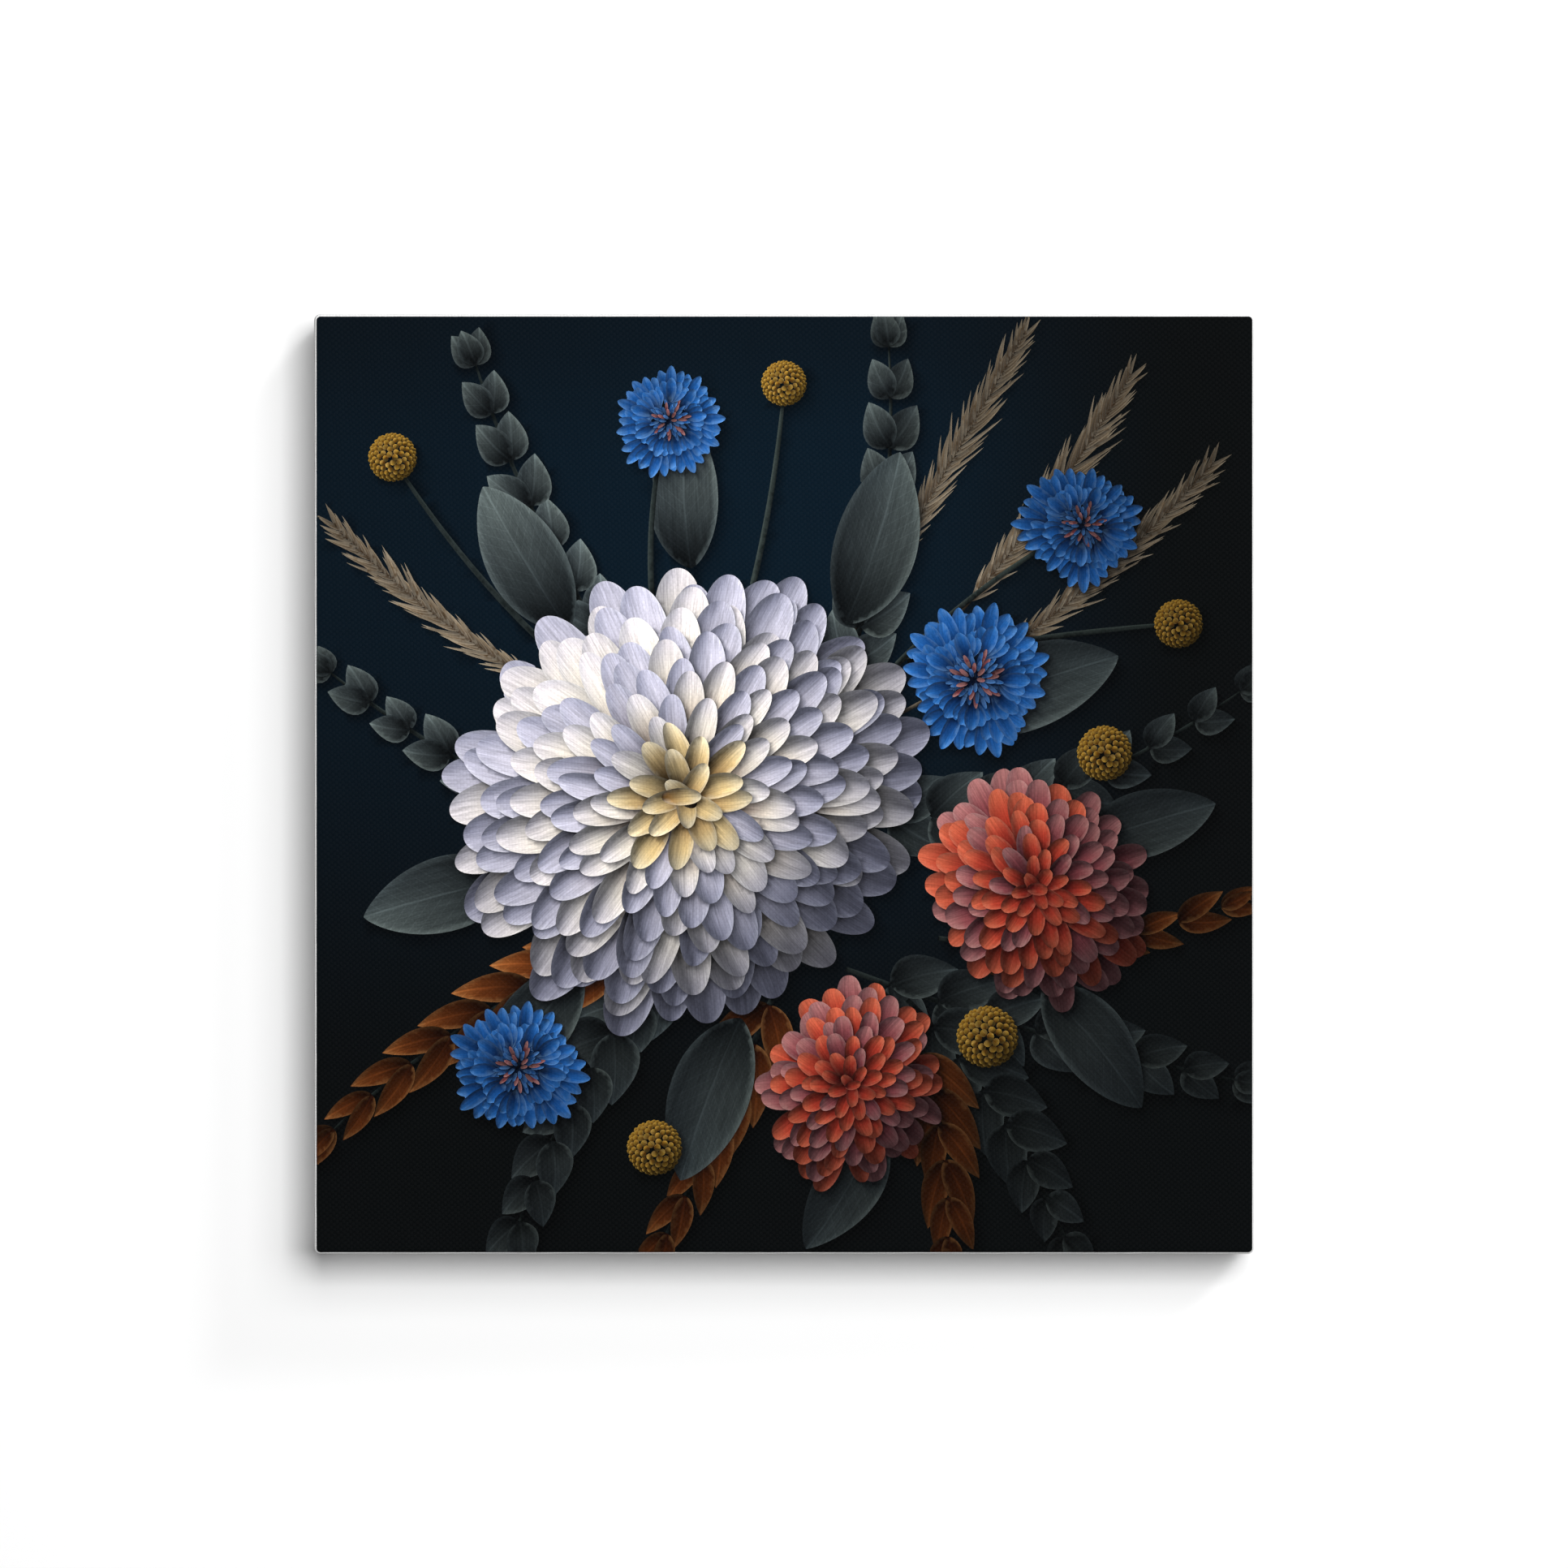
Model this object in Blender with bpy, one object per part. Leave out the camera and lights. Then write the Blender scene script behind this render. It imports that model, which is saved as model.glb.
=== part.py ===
"""A square gallery-wrapped canvas print, hung on a wall: metres, +Z up.

The picture faces -Y and the wall is the plane Y = 0. The origin is the hanging point: the middle notch of
the sawtooth hanger, where a wall nail carries the picture. Four mitred pine bars with slots and wooden keys
make the stretcher. One sheet of canvas wraps the front and all four sides and is stapled to the back of the
bars. Two rubber bumpers hold the lower corners off the wall.
"""

import math

import bmesh
import bpy
from mathutils import Matrix, Vector

# The picture as a whole.
SIDE = 0.305  # width and height over the canvas
DEPTH = 0.032  # from the canvas front to the back of its stapled flaps
TOP_Z = 0.0355  # the picture's top edge above the hanging point
STANDOFF = 0.003  # from the flaps to the wall
FIT_GAP = 0.0003  # clear space between pieces that touch
CENTRE_Z = TOP_Z - SIDE / 2

# The canvas.
CANVAS_THICK = 0.0006
CORNER_R = 0.0025  # seen from the front
EDGE_R = 0.0016  # where the front turns into the sides, and the sides into the flaps
FLAP = 0.0255  # from the picture's outer edge to the cut edge on the back
SHARPEST_R = 0.0004  # the least radius that a corner of the sheet takes
CORNER_STEPS = 6
EDGE_STEPS = 4

# The stretcher bars.
BAR_WIDTH = 0.038
LIP_WIDTH = 0.006  # the raised outer strip that carries the canvas
LIP_FALL = 0.004  # how far the front face falls away from the canvas by the inner edge
BAR_CHAMFER = 0.001
BAR_CORNER = 0.0020  # cut off the stretcher's sharp outer corners, inside the canvas's round ones
SLOT_THICK = 0.004
SLOT_WIDTH = 0.0146
SLOT_DEEP = 0.025
SLOT_LEVELS = (-0.0120, -0.0200)  # mid-depths of the two key slots at a corner

# The keys.
KEY_LENGTH = 0.031
KEY_HEAD = 0.014
KEY_TIP = 0.009
KEY_OUT = 0.008  # how far the head stands out of its slot

# The staples.
STAPLES_PER_SIDE = 7
STAPLE_PITCH = 0.036
STAPLE_CROWN = 0.010
STAPLE_LEG = 0.008
WIRE_WIDE = 0.0010
WIRE_THICK = 0.0006
STAPLE_IN = 0.0145  # from the picture's outer edge to the row of staples
STAPLE_SWING = math.radians(5)  # the most that a staple is turned from the bar's line
SWING_STEP = 2.4  # radians along the sine wave that gives each next staple's swing
SWING_START = 0.7
CORNER_STAPLES = ((0.0125, 0.0085), (0.0205, 0.0170))  # inward from the two edges that meet there

# The hanger and its nails.
HANGER_LENGTH = 0.045
HANGER_HEIGHT = 0.0095
HANGER_THICK = 0.0008
HANGER_FLAT = 0.0075  # each flat end
HANGER_RAMP = 0.0022
TOOTH_PITCH = 0.0026
TOOTH_DEEP = 0.0012
TEETH = 10
NAIL_AT = 0.0188  # either side of the middle
NAIL_HEAD_R = 0.0018
NAIL_HEAD_THICK = 0.0007
NAIL_DOME_R = 0.0013
NAIL_DOME = 0.0003  # how much of the head's thickness is its dome
NAIL_SHANK_R = 0.0006
NAIL_TIP_R = 0.0002
NAIL_TIP = 0.0012
NAIL_LENGTH = 0.012
NAIL_SIDES = 12

# The bumpers.
BUMPER_R = 0.005
BUMPER_WALL = 0.0010  # the upright part of its side, above the glued face
BUMPER_DOME = ((0.0046, 0.0017), (0.0039, 0.0023))  # radius, and height above the glued face
BUMPER_FLAT_R = 0.0030
BUMPER_IN = 0.0160  # their centres, inward from the two outer edges
BUMPER_UP = 0.0330
BUMPER_SIDES = 24

# Depth levels, from the wall forwards.
FLAP_BACK_Y = -STANDOFF
FLAP_FRONT_Y = FLAP_BACK_Y - CANVAS_THICK
BAR_BACK_Y = FLAP_FRONT_Y - FIT_GAP
CANVAS_FRONT_Y = FLAP_BACK_Y - DEPTH
BAR_FRONT_Y = CANVAS_FRONT_Y + CANVAS_THICK + FIT_GAP
BAR_HALF = SIDE / 2 - CANVAS_THICK - FIT_GAP
INNER_HALF = BAR_HALF - BAR_WIDTH

QUARTERS = {"top": 0, "right": 1, "bottom": 2, "left": 3}  # quarter turns about +Y from the top bar


def clear_scene():
    for obj in list(bpy.data.objects):
        bpy.data.objects.remove(obj)


def material(name, colour, roughness, metallic=0.0):
    made = bpy.data.materials.new(name)
    made.use_nodes = True
    shader = made.node_tree.nodes["Principled BSDF"]
    shader.inputs["Base Color"].default_value = (*colour, 1.0)
    shader.inputs["Roughness"].default_value = roughness
    shader.inputs["Metallic"].default_value = metallic
    return made


def mesh_of(name, points, faces):
    """A mesh with its faces turned outwards."""
    bm = bmesh.new()
    corners = [bm.verts.new(p) for p in points]
    for face in faces:
        bm.faces.new([corners[i] for i in face])
    bmesh.ops.recalc_face_normals(bm, faces=bm.faces)
    mesh = bpy.data.meshes.new(name)
    bm.to_mesh(mesh)
    bm.free()
    return mesh


def lofted(name, loops):
    """A closed mesh through loops of equally many points, with the first and last loop filled."""
    count = len(loops[0])
    points = [p for loop in loops for p in loop]
    faces = [list(range(count)), list(range(len(points) - count, len(points)))]
    for k in range(len(loops) - 1):
        for i in range(count):
            j = (i + 1) % count
            faces.append([k * count + i, k * count + j, (k + 1) * count + j, (k + 1) * count + i])
    return mesh_of(name, points, faces)


def boxes(name, placed):
    """One mesh of separate boxes, each given as its size and the matrix that places it."""
    bm = bmesh.new()
    for size, place in placed:
        bmesh.ops.create_cube(bm, size=1.0, matrix=place @ Matrix.Diagonal((*size, 1.0)))
    mesh = bpy.data.meshes.new(name)
    bm.to_mesh(mesh)
    bm.free()
    return mesh


def shown(name, mesh, finish, parent=None, quarter=0):
    """A named object that turns with its side of the picture."""
    obj = bpy.data.objects.new(name, mesh)
    bpy.context.scene.collection.objects.link(obj)
    obj.parent = parent
    obj.rotation_euler = (0.0, quarter * math.pi / 2, 0.0)
    if finish:
        mesh.materials.append(finish)
    return obj


def cut(obj, mesh, quarter=0):
    """Subtracts a hidden cutter that is placed as the object is."""
    cutter = shown(mesh.name, mesh, None, obj.parent, quarter)
    cutter.hide_render = True
    cutter.display_type = "WIRE"
    boolean = obj.modifiers.new(mesh.name, "BOOLEAN")
    boolean.operation = "DIFFERENCE"
    boolean.object = cutter


def rounded_square(half, radius, y):
    """A loop round the picture's middle, with CORNER_STEPS + 1 points on each corner's arc."""
    loop = []
    for quarter in range(4):
        turn = quarter * math.pi / 2
        centre = Vector((half - radius, y, half - radius))
        for step in range(CORNER_STEPS + 1):
            angle = math.pi / 2 * step / CORNER_STEPS
            point = centre + radius * Vector((math.cos(angle), 0.0, math.sin(angle)))
            loop.append(Matrix.Rotation(-turn, 3, "Y") @ point)
    return loop


def edge_turn(half, y, radius, corner, start, direction):
    """The loops of a quarter-round edge: start is the angle of its first loop, and direction is 1 or -1."""
    loops = []
    for step in range(EDGE_STEPS + 1):
        angle = start + direction * math.pi / 2 * step / EDGE_STEPS
        grown = radius * math.cos(angle)
        corner_r = max(corner + grown, SHARPEST_R)
        loops.append(rounded_square(half + grown, corner_r, y + radius * math.sin(angle)))
    return loops


def canvas_mesh():
    """The wrapped sheet: over the front edge, back along the sides and in along the flaps, then the inside."""
    half = SIDE / 2
    inner_r = EDGE_R - CANVAS_THICK
    middle = half - EDGE_R
    corner = CORNER_R - EDGE_R
    front_y = CANVAS_FRONT_Y + EDGE_R
    back_y = FLAP_BACK_Y - EDGE_R
    cut_half = half - FLAP
    return lofted(
        "canvas",
        [
            *edge_turn(middle, front_y, EDGE_R, corner, -math.pi / 2, 1),
            *edge_turn(middle, back_y, EDGE_R, corner, 0.0, 1),
            rounded_square(cut_half, SHARPEST_R, FLAP_BACK_Y),
            rounded_square(cut_half, SHARPEST_R, FLAP_FRONT_Y),
            *edge_turn(middle, back_y, inner_r, corner, math.pi / 2, -1),
            *edge_turn(middle, front_y, inner_r, corner, 0.0, -1),
        ],
    )


def without_corners(mesh):
    """The mesh with the stretcher's two sharp upper corners cut off at 45 degrees."""
    bm = bmesh.new()
    bm.from_mesh(mesh)
    for sign in (-1, 1):
        reach = BAR_HALF - BAR_CORNER / 2
        parted = bmesh.ops.bisect_plane(
            bm,
            geom=[*bm.verts, *bm.edges, *bm.faces],
            plane_co=(sign * reach, 0.0, reach),
            plane_no=(sign, 0.0, 1.0),
            clear_outer=True,
        )
        rim = [e for e in parted["geom_cut"] if isinstance(e, bmesh.types.BMEdge)]
        bmesh.ops.edgenet_fill(bm, edges=rim)
    bmesh.ops.recalc_face_normals(bm, faces=bm.faces)
    bm.to_mesh(mesh)
    bm.free()
    return mesh


def bar_mesh(name):
    """The top bar: its cross-section, run between two mitred ends."""
    half_gap = FIT_GAP / 2 * math.sqrt(2)
    section = [
        (BAR_CHAMFER, BAR_FRONT_Y),
        (LIP_WIDTH, BAR_FRONT_Y),
        (BAR_WIDTH - BAR_CHAMFER, BAR_FRONT_Y + LIP_FALL),
        (BAR_WIDTH, BAR_FRONT_Y + LIP_FALL + BAR_CHAMFER),
        (BAR_WIDTH, BAR_BACK_Y - BAR_CHAMFER),
        (BAR_WIDTH - BAR_CHAMFER, BAR_BACK_Y),
        (BAR_CHAMFER, BAR_BACK_Y),
        (0.0, BAR_BACK_Y - BAR_CHAMFER),
        (0.0, BAR_FRONT_Y + BAR_CHAMFER),
    ]
    ends = []
    for sign in (-1, 1):
        ends.append([(sign * (BAR_HALF - inward - half_gap), y, BAR_HALF - inward) for inward, y in section])
    return without_corners(lofted(name, ends))


def slot_boxes(name):
    """The top bar's two key slots, beside its inner corners."""
    placed = []
    for sign, level in zip((-1, 1), SLOT_LEVELS):
        along = sign * (INNER_HALF - SLOT_WIDTH / 2)
        up = INNER_HALF + SLOT_DEEP / 2 - BAR_CHAMFER
        size = (SLOT_WIDTH, SLOT_THICK, SLOT_DEEP + 2 * BAR_CHAMFER)
        placed.append((size, Matrix.Translation((along, level, up))))
    return boxes(name, placed)


def key_mesh(name, sign, level):
    """A tapered wooden key in one of the top bar's slots, its straight edge next to the corner."""
    half_thick = SLOT_THICK / 2 - FIT_GAP
    corner = INNER_HALF - FIT_GAP
    tip = INNER_HALF - KEY_OUT + KEY_LENGTH
    outline = [
        (corner, INNER_HALF - KEY_OUT),
        (corner - KEY_HEAD, INNER_HALF - KEY_OUT),
        (corner - KEY_TIP, tip),
        (corner, tip),
    ]
    return lofted(name, [[(sign * x, level + y, z) for x, z in outline] for y in (-half_thick, half_thick)])


def staple_places():
    """Where the top side's staples go: name, and the matrix that turns and places each."""
    row = SIDE / 2 - STAPLE_IN
    places = []
    for i in range(STAPLES_PER_SIDE):
        along = (i - (STAPLES_PER_SIDE - 1) / 2) * STAPLE_PITCH
        swing = STAPLE_SWING * math.sin(SWING_STEP * i + SWING_START)
        places.append((str(i + 1), Matrix.Translation((along, 0.0, row)) @ Matrix.Rotation(swing, 4, "Y")))
    for letter, (inward, down) in zip("ab", CORNER_STAPLES):
        spot = Matrix.Translation((SIDE / 2 - inward, 0.0, SIDE / 2 - down))
        places.append(("corner_" + letter, spot @ Matrix.Rotation(math.pi / 4, 4, "Y")))
    return places


def staple_mesh(name, place):
    """A flat-wire staple: its crown on the canvas and its two legs in the wood, as one bent strip."""
    back = FLAP_BACK_Y + FIT_GAP + WIRE_THICK
    front = back - WIRE_THICK - STAPLE_LEG
    outer = STAPLE_CROWN / 2
    inner = outer - WIRE_THICK
    outline = [
        (-outer, front),
        (-outer, back),
        (outer, back),
        (outer, front),
        (inner, front),
        (inner, back - WIRE_THICK),
        (-inner, back - WIRE_THICK),
        (-inner, front),
    ]
    edges = (-WIRE_WIDE / 2, WIRE_WIDE / 2)
    return lofted(name, [[place @ Vector((x, y, z)) for x, y in outline] for z in edges])


def leg_boxes(name, places):
    """The holes that the staples' legs leave, from behind the flap into the wood."""
    back = FLAP_BACK_Y + FIT_GAP / 2
    front = FLAP_BACK_Y - STAPLE_LEG
    size = (WIRE_THICK + 2 * FIT_GAP, back - front, WIRE_WIDE + 2 * FIT_GAP)
    placed = []
    for place in places:
        for sign in (-1, 1):
            leg = Matrix.Translation((sign * (STAPLE_CROWN - WIRE_THICK) / 2, (back + front) / 2, 0.0))
            placed.append((size, place @ leg))
    return boxes(name, placed)


def cylinder(name, radius, y_from, y_to, spots):
    """Upright many-sided pegs along Y at the given x and z, as one mesh."""
    bm = bmesh.new()
    for x, z in spots:
        place = Matrix.Translation((x, (y_from + y_to) / 2, z)) @ Matrix.Rotation(math.pi / 2, 4, "X")
        bmesh.ops.create_cone(
            bm,
            cap_ends=True,
            segments=NAIL_SIDES,
            radius1=radius,
            radius2=radius,
            depth=y_to - y_from,
            matrix=place,
        )
    mesh = bpy.data.meshes.new(name)
    bm.to_mesh(mesh)
    bm.free()
    return mesh


def turned(name, profile, sides, place):
    """A solid turned about the Y axis from (radius, y) points, and then placed."""
    loops = []
    for radius, y in profile:
        angles = [2 * math.pi * i / sides for i in range(sides)]
        loops.append([place @ Vector((radius * math.cos(a), y, radius * math.sin(a))) for a in angles])
    return lofted(name, loops)


def hanger_mesh():
    """The sawtooth strip: flat ends on the wood, two ramps, and a raised middle with a toothed lower edge."""
    base = BAR_BACK_Y + FIT_GAP
    raised = -FIT_GAP - HANGER_THICK
    half = HANGER_LENGTH / 2
    flat_end = half - HANGER_FLAT
    ramp_end = flat_end - HANGER_RAMP
    lower = -TOOTH_DEEP
    stations = [(half, base, lower), (flat_end, base, lower), (ramp_end, raised, lower)]
    for tooth in range(2 * TEETH + 1):
        along = (TEETH - tooth) * TOOTH_PITCH / 2
        notch = (tooth - TEETH) % 2 == 0
        stations.append((along, raised, 0.0 if notch else lower))
    stations += [(-x, y, z) for x, y, z in reversed(stations[:3])]
    upper = lower + HANGER_HEIGHT
    loops = []
    for x, y, low in stations:
        loops.append([(x, y, low), (x, y + HANGER_THICK, low), (x, y + HANGER_THICK, upper), (x, y, upper)])
    return lofted("hanger", loops)


def make_bars(centre, pine, beech):
    for side, quarter in QUARTERS.items():
        bar = shown(f"bar_{side}", bar_mesh(f"bar_{side}"), pine, centre, quarter)
        cut(bar, slot_boxes(f"slots_{side}"), quarter)
        cut(bar, leg_boxes(f"leg_holes_{side}", staples_into_a_bar()), quarter)
        for end, sign, level in zip("ab", (-1, 1), SLOT_LEVELS):
            name = f"key_{side}_{end}"
            shown(name, key_mesh(name, sign, level), beech, centre, quarter)


def staples_into_a_bar():
    """All staples as a bar sees them, since a corner's staples may cross the mitre into the next bar."""
    own = [place for _, place in staple_places()]
    back_a_quarter = Matrix.Rotation(-math.pi / 2, 4, "Y")
    before = [back_a_quarter @ place for name, place in staple_places() if name.startswith("corner")]
    return own + before


def make_canvas(centre, cotton):
    canvas = shown("canvas", canvas_mesh(), cotton, centre)
    for side, quarter in QUARTERS.items():
        cut(canvas, leg_boxes(f"flap_holes_{side}", [place for _, place in staple_places()]), quarter)


def make_staples(centre, steel):
    for side, quarter in QUARTERS.items():
        for label, place in staple_places():
            name = f"staple_{side}_{label}"
            shown(name, staple_mesh(name, place), steel, centre, quarter)


def make_hanger(bar_top, steel):
    hanger = shown("hanger", hanger_mesh(), steel)
    middle = HANGER_HEIGHT / 2 - TOOTH_DEEP
    spots = {"left": (-NAIL_AT, middle), "right": (NAIL_AT, middle)}
    plate_back = BAR_BACK_Y + FIT_GAP + HANGER_THICK
    hole_r = NAIL_SHANK_R + FIT_GAP
    cut(hanger, cylinder("nail_holes", hole_r, BAR_BACK_Y, plate_back + FIT_GAP, spots.values()))
    pilot = cylinder("pilot_holes", hole_r, plate_back - NAIL_LENGTH - FIT_GAP, plate_back, spots.values())
    cut(bar_top, pilot)
    bpy.data.objects[pilot.name].parent = None  # its holes are placed from the hanging point, not the centre
    head_front = plate_back + FIT_GAP
    profile = [
        (NAIL_TIP_R, head_front - NAIL_LENGTH),
        (NAIL_SHANK_R, head_front - NAIL_LENGTH + NAIL_TIP),
        (NAIL_SHANK_R, head_front),
        (NAIL_HEAD_R, head_front),
        (NAIL_HEAD_R, head_front + NAIL_HEAD_THICK - NAIL_DOME),
        (NAIL_DOME_R, head_front + NAIL_HEAD_THICK),
    ]
    for name, (x, z) in spots.items():
        place = Matrix.Translation((x, 0.0, z))
        shown(f"nail_{name}", turned(f"nail_{name}", profile, NAIL_SIDES, place), steel)


def make_bumpers(rubber):
    glued = FLAP_BACK_Y + FIT_GAP
    profile = [
        (BUMPER_R, glued),
        (BUMPER_R, glued + BUMPER_WALL),
        *[(radius, glued + height) for radius, height in BUMPER_DOME],
        (BUMPER_FLAT_R, 0.0),
    ]
    for name, sign in (("left", -1), ("right", 1)):
        place = Matrix.Translation((sign * (SIDE / 2 - BUMPER_IN), 0.0, TOP_Z - SIDE + BUMPER_UP))
        shown(f"bumper_{name}", turned(f"bumper_{name}", profile, BUMPER_SIDES, place), rubber)


def main():
    clear_scene()
    cotton = material("primed_canvas", (0.035, 0.045, 0.062), 0.65)
    pine = material("pine", (0.66, 0.47, 0.27), 0.6)
    beech = material("beech", (0.60, 0.40, 0.24), 0.55)
    steel = material("zinc_steel", (0.62, 0.62, 0.60), 0.35, 1.0)
    rubber = material("black_rubber", (0.02, 0.02, 0.02), 0.7)
    centre = bpy.data.objects.new("picture_centre", None)
    bpy.context.scene.collection.objects.link(centre)
    centre.location = (0.0, 0.0, CENTRE_Z)
    make_bars(centre, pine, beech)
    make_canvas(centre, cotton)
    make_staples(centre, steel)
    make_hanger(bpy.data.objects["bar_top"], steel)
    make_bumpers(rubber)


main()
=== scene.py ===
# A square canvas print on a keyed pine stretcher, hung on a pale wall: metres, +Z up, the picture facing -Y.

import math

import bmesh
import bpy
import numpy as np
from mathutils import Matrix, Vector
from mathutils.geometry import delaunay_2d_cdt


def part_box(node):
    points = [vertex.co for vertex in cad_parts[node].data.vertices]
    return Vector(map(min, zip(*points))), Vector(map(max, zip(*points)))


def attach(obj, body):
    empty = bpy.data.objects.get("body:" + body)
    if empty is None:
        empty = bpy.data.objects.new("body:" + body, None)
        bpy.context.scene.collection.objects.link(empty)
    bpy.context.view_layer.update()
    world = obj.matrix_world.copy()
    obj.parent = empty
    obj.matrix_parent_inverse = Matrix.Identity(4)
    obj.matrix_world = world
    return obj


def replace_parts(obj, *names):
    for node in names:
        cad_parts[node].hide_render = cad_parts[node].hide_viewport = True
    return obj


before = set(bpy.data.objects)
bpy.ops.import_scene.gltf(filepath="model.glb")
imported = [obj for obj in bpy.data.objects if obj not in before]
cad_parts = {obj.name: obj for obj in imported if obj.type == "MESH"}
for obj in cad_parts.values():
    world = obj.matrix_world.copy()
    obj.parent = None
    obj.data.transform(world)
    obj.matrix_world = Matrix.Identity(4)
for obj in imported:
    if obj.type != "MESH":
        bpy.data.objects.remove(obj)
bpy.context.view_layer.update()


# ---- Stretcher bars ---------------------------------------------------------------------------------
# Four bars of planed pine, mitred at 45 degrees, with the grain along each bar and a softened arris.
# The back edge carries the staples, and two slots at every corner take the keys.

SIDES = ("top", "right", "bottom", "left")
PINE = {
    "Pale": (0.66, 0.455, 0.245, 1.0),
    "Dark": (0.40, 0.205, 0.080, 1.0),
    "Ring": 0.0046,  # from one year's ring to the next, in metres
    "Contrast": 1.0,
}
PINE_HEARTS = ((0.03, 0.021, 0.052), (-0.02, -0.034, 0.060), (0.11, 0.026, -0.047), (-0.07, -0.030, -0.055))
SLOW_ALONG = (0.22, 1.0, 1.0)  # how much slower the wood changes along its grain
RINGS_ALONG = (0.05, 1.0, 1.0)
FIBRES_ALONG = (0.02, 1.0, 1.0)
WANDER = 0.016  # how far the grain strays sideways
KNOTS = 13.0  # for each metre, in all three directions
ANOTHER_LOG = (7.0, 7.0, 7.0)  # sets each heart's knots apart from the others'
LATE_END = 0.93  # where in its year a ring is darkest, just before it stops
FIBRES = 2600.0
PLANER_MARKS = 2400.0  # in radians for each metre
PLANED_DEPTH = 0.00009
ARRIS = 0.00035  # the rounding on the bars' edges
MERGE = 1e-5
FLAT_ANGLE = math.radians(1)


class Signal:
    """A value, direction or colour that a node gives. Arithmetic on it adds the nodes that work it out."""

    def __init__(self, socket):
        self.socket = socket
        self.tree = socket.id_data

    def __getitem__(self, output):
        """Another output of the same node."""
        return Signal(self.socket.node.outputs[output])

    def worked(self, operation, *others):
        """One step of arithmetic, on all three parts at once where this is a direction or a colour."""
        kind = "Vector" if self.socket.type in ("VECTOR", "RGBA") else ""
        made = add(self.tree, f"ShaderNode{kind}Math", dict(enumerate((self, *others))), operation=operation)
        return made["Value"] if operation == "LENGTH" else made

    def __add__(self, other):
        return self.worked("ADD", other)

    def __sub__(self, other):
        return self.worked("SUBTRACT", other)

    def __mul__(self, other):
        return self.worked("MULTIPLY", other)

    def __truediv__(self, other):
        return self.worked("DIVIDE", other)

    def parts(self):
        """A direction's three parts."""
        split = add(self.tree, "ShaderNodeSeparateXYZ", {0: self})
        return split, split[1], split[2]

    def ranged(self, low, high, to_low=0.0, to_high=1.0, smooth=False):
        """This value mapped from one range to another, and held inside it."""
        sockets = {"Value": self, "From Min": low, "From Max": high, "To Min": to_low, "To Max": to_high}
        way = "SMOOTHSTEP" if smooth else "LINEAR"
        return add(self.tree, "ShaderNodeMapRange", sockets, interpolation_type=way)

    def mixed(self, first, second):
        """The first colour where this value is 0, and the second where it is 1."""
        first, second = ((*c, 1.0) if isinstance(c, tuple) else c for c in (first, second))
        return add(self.tree, "ShaderNodeMix", {0: self, 6: first, 7: second}, data_type="RGBA")[2]

    def blended(self, first, second):
        """The same for two values."""
        return add(self.tree, "ShaderNodeMix", {0: self, 2: first, 3: second})

    def noise(self, scale, detail=2.0, rough=0.5):
        """Noise at this place, with its scale in repeats for each metre."""
        sockets = {"Vector": self, "Scale": scale, "Detail": detail, "Roughness": rough}
        return add(self.tree, "ShaderNodeTexNoise", sockets)


def add(tree, kind, inputs=None, **settings):
    """Adds a node and gives its first output. Its inputs take plain values, or signals that feed them."""
    made = tree.nodes.new(kind)
    for key, value in settings.items():
        setattr(made, key, value)
    for key, value in (inputs or {}).items():
        if isinstance(value, Signal):
            tree.links.new(value.socket, made.inputs[key])
        else:
            made.inputs[key].default_value = value
    return Signal(made.outputs[0])


def feed(node, **signals):
    """Links signals into a node's inputs, whose names have _ here for a space."""
    for key, signal in signals.items():
        signal.tree.links.new(signal.socket, node.inputs[key.replace("_", " ")])


def group(name, inputs, outputs, kind="ShaderNodeTree"):
    """An empty node group with named sockets: its tree, its inputs and its output node."""
    tree = bpy.data.node_groups.new(name, kind)
    for way, sockets in (("INPUT", inputs), ("OUTPUT", outputs)):
        for label, socket in sockets.items():
            tree.interface.new_socket(label, in_out=way, socket_type="NodeSocket" + socket)
    return tree, add(tree, "NodeGroupInput"), tree.nodes.new("NodeGroupOutput")


def finish(name, **values):
    """A material, its tree, and its Principled shader, whose sockets take the given values."""
    made = bpy.data.materials.new(name)
    made.use_nodes = True
    shader = made.node_tree.nodes["Principled BSDF"]
    for key, value in values.items():
        shader.inputs[key.replace("_", " ")].default_value = value
    return made, made.node_tree, shader


def bump(height, depth, strength):
    """A pattern's height as relief of that depth, in metres."""
    return add(height.tree, "ShaderNodeBump", {"Height": height, "Distance": depth, "Strength": strength})


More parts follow.
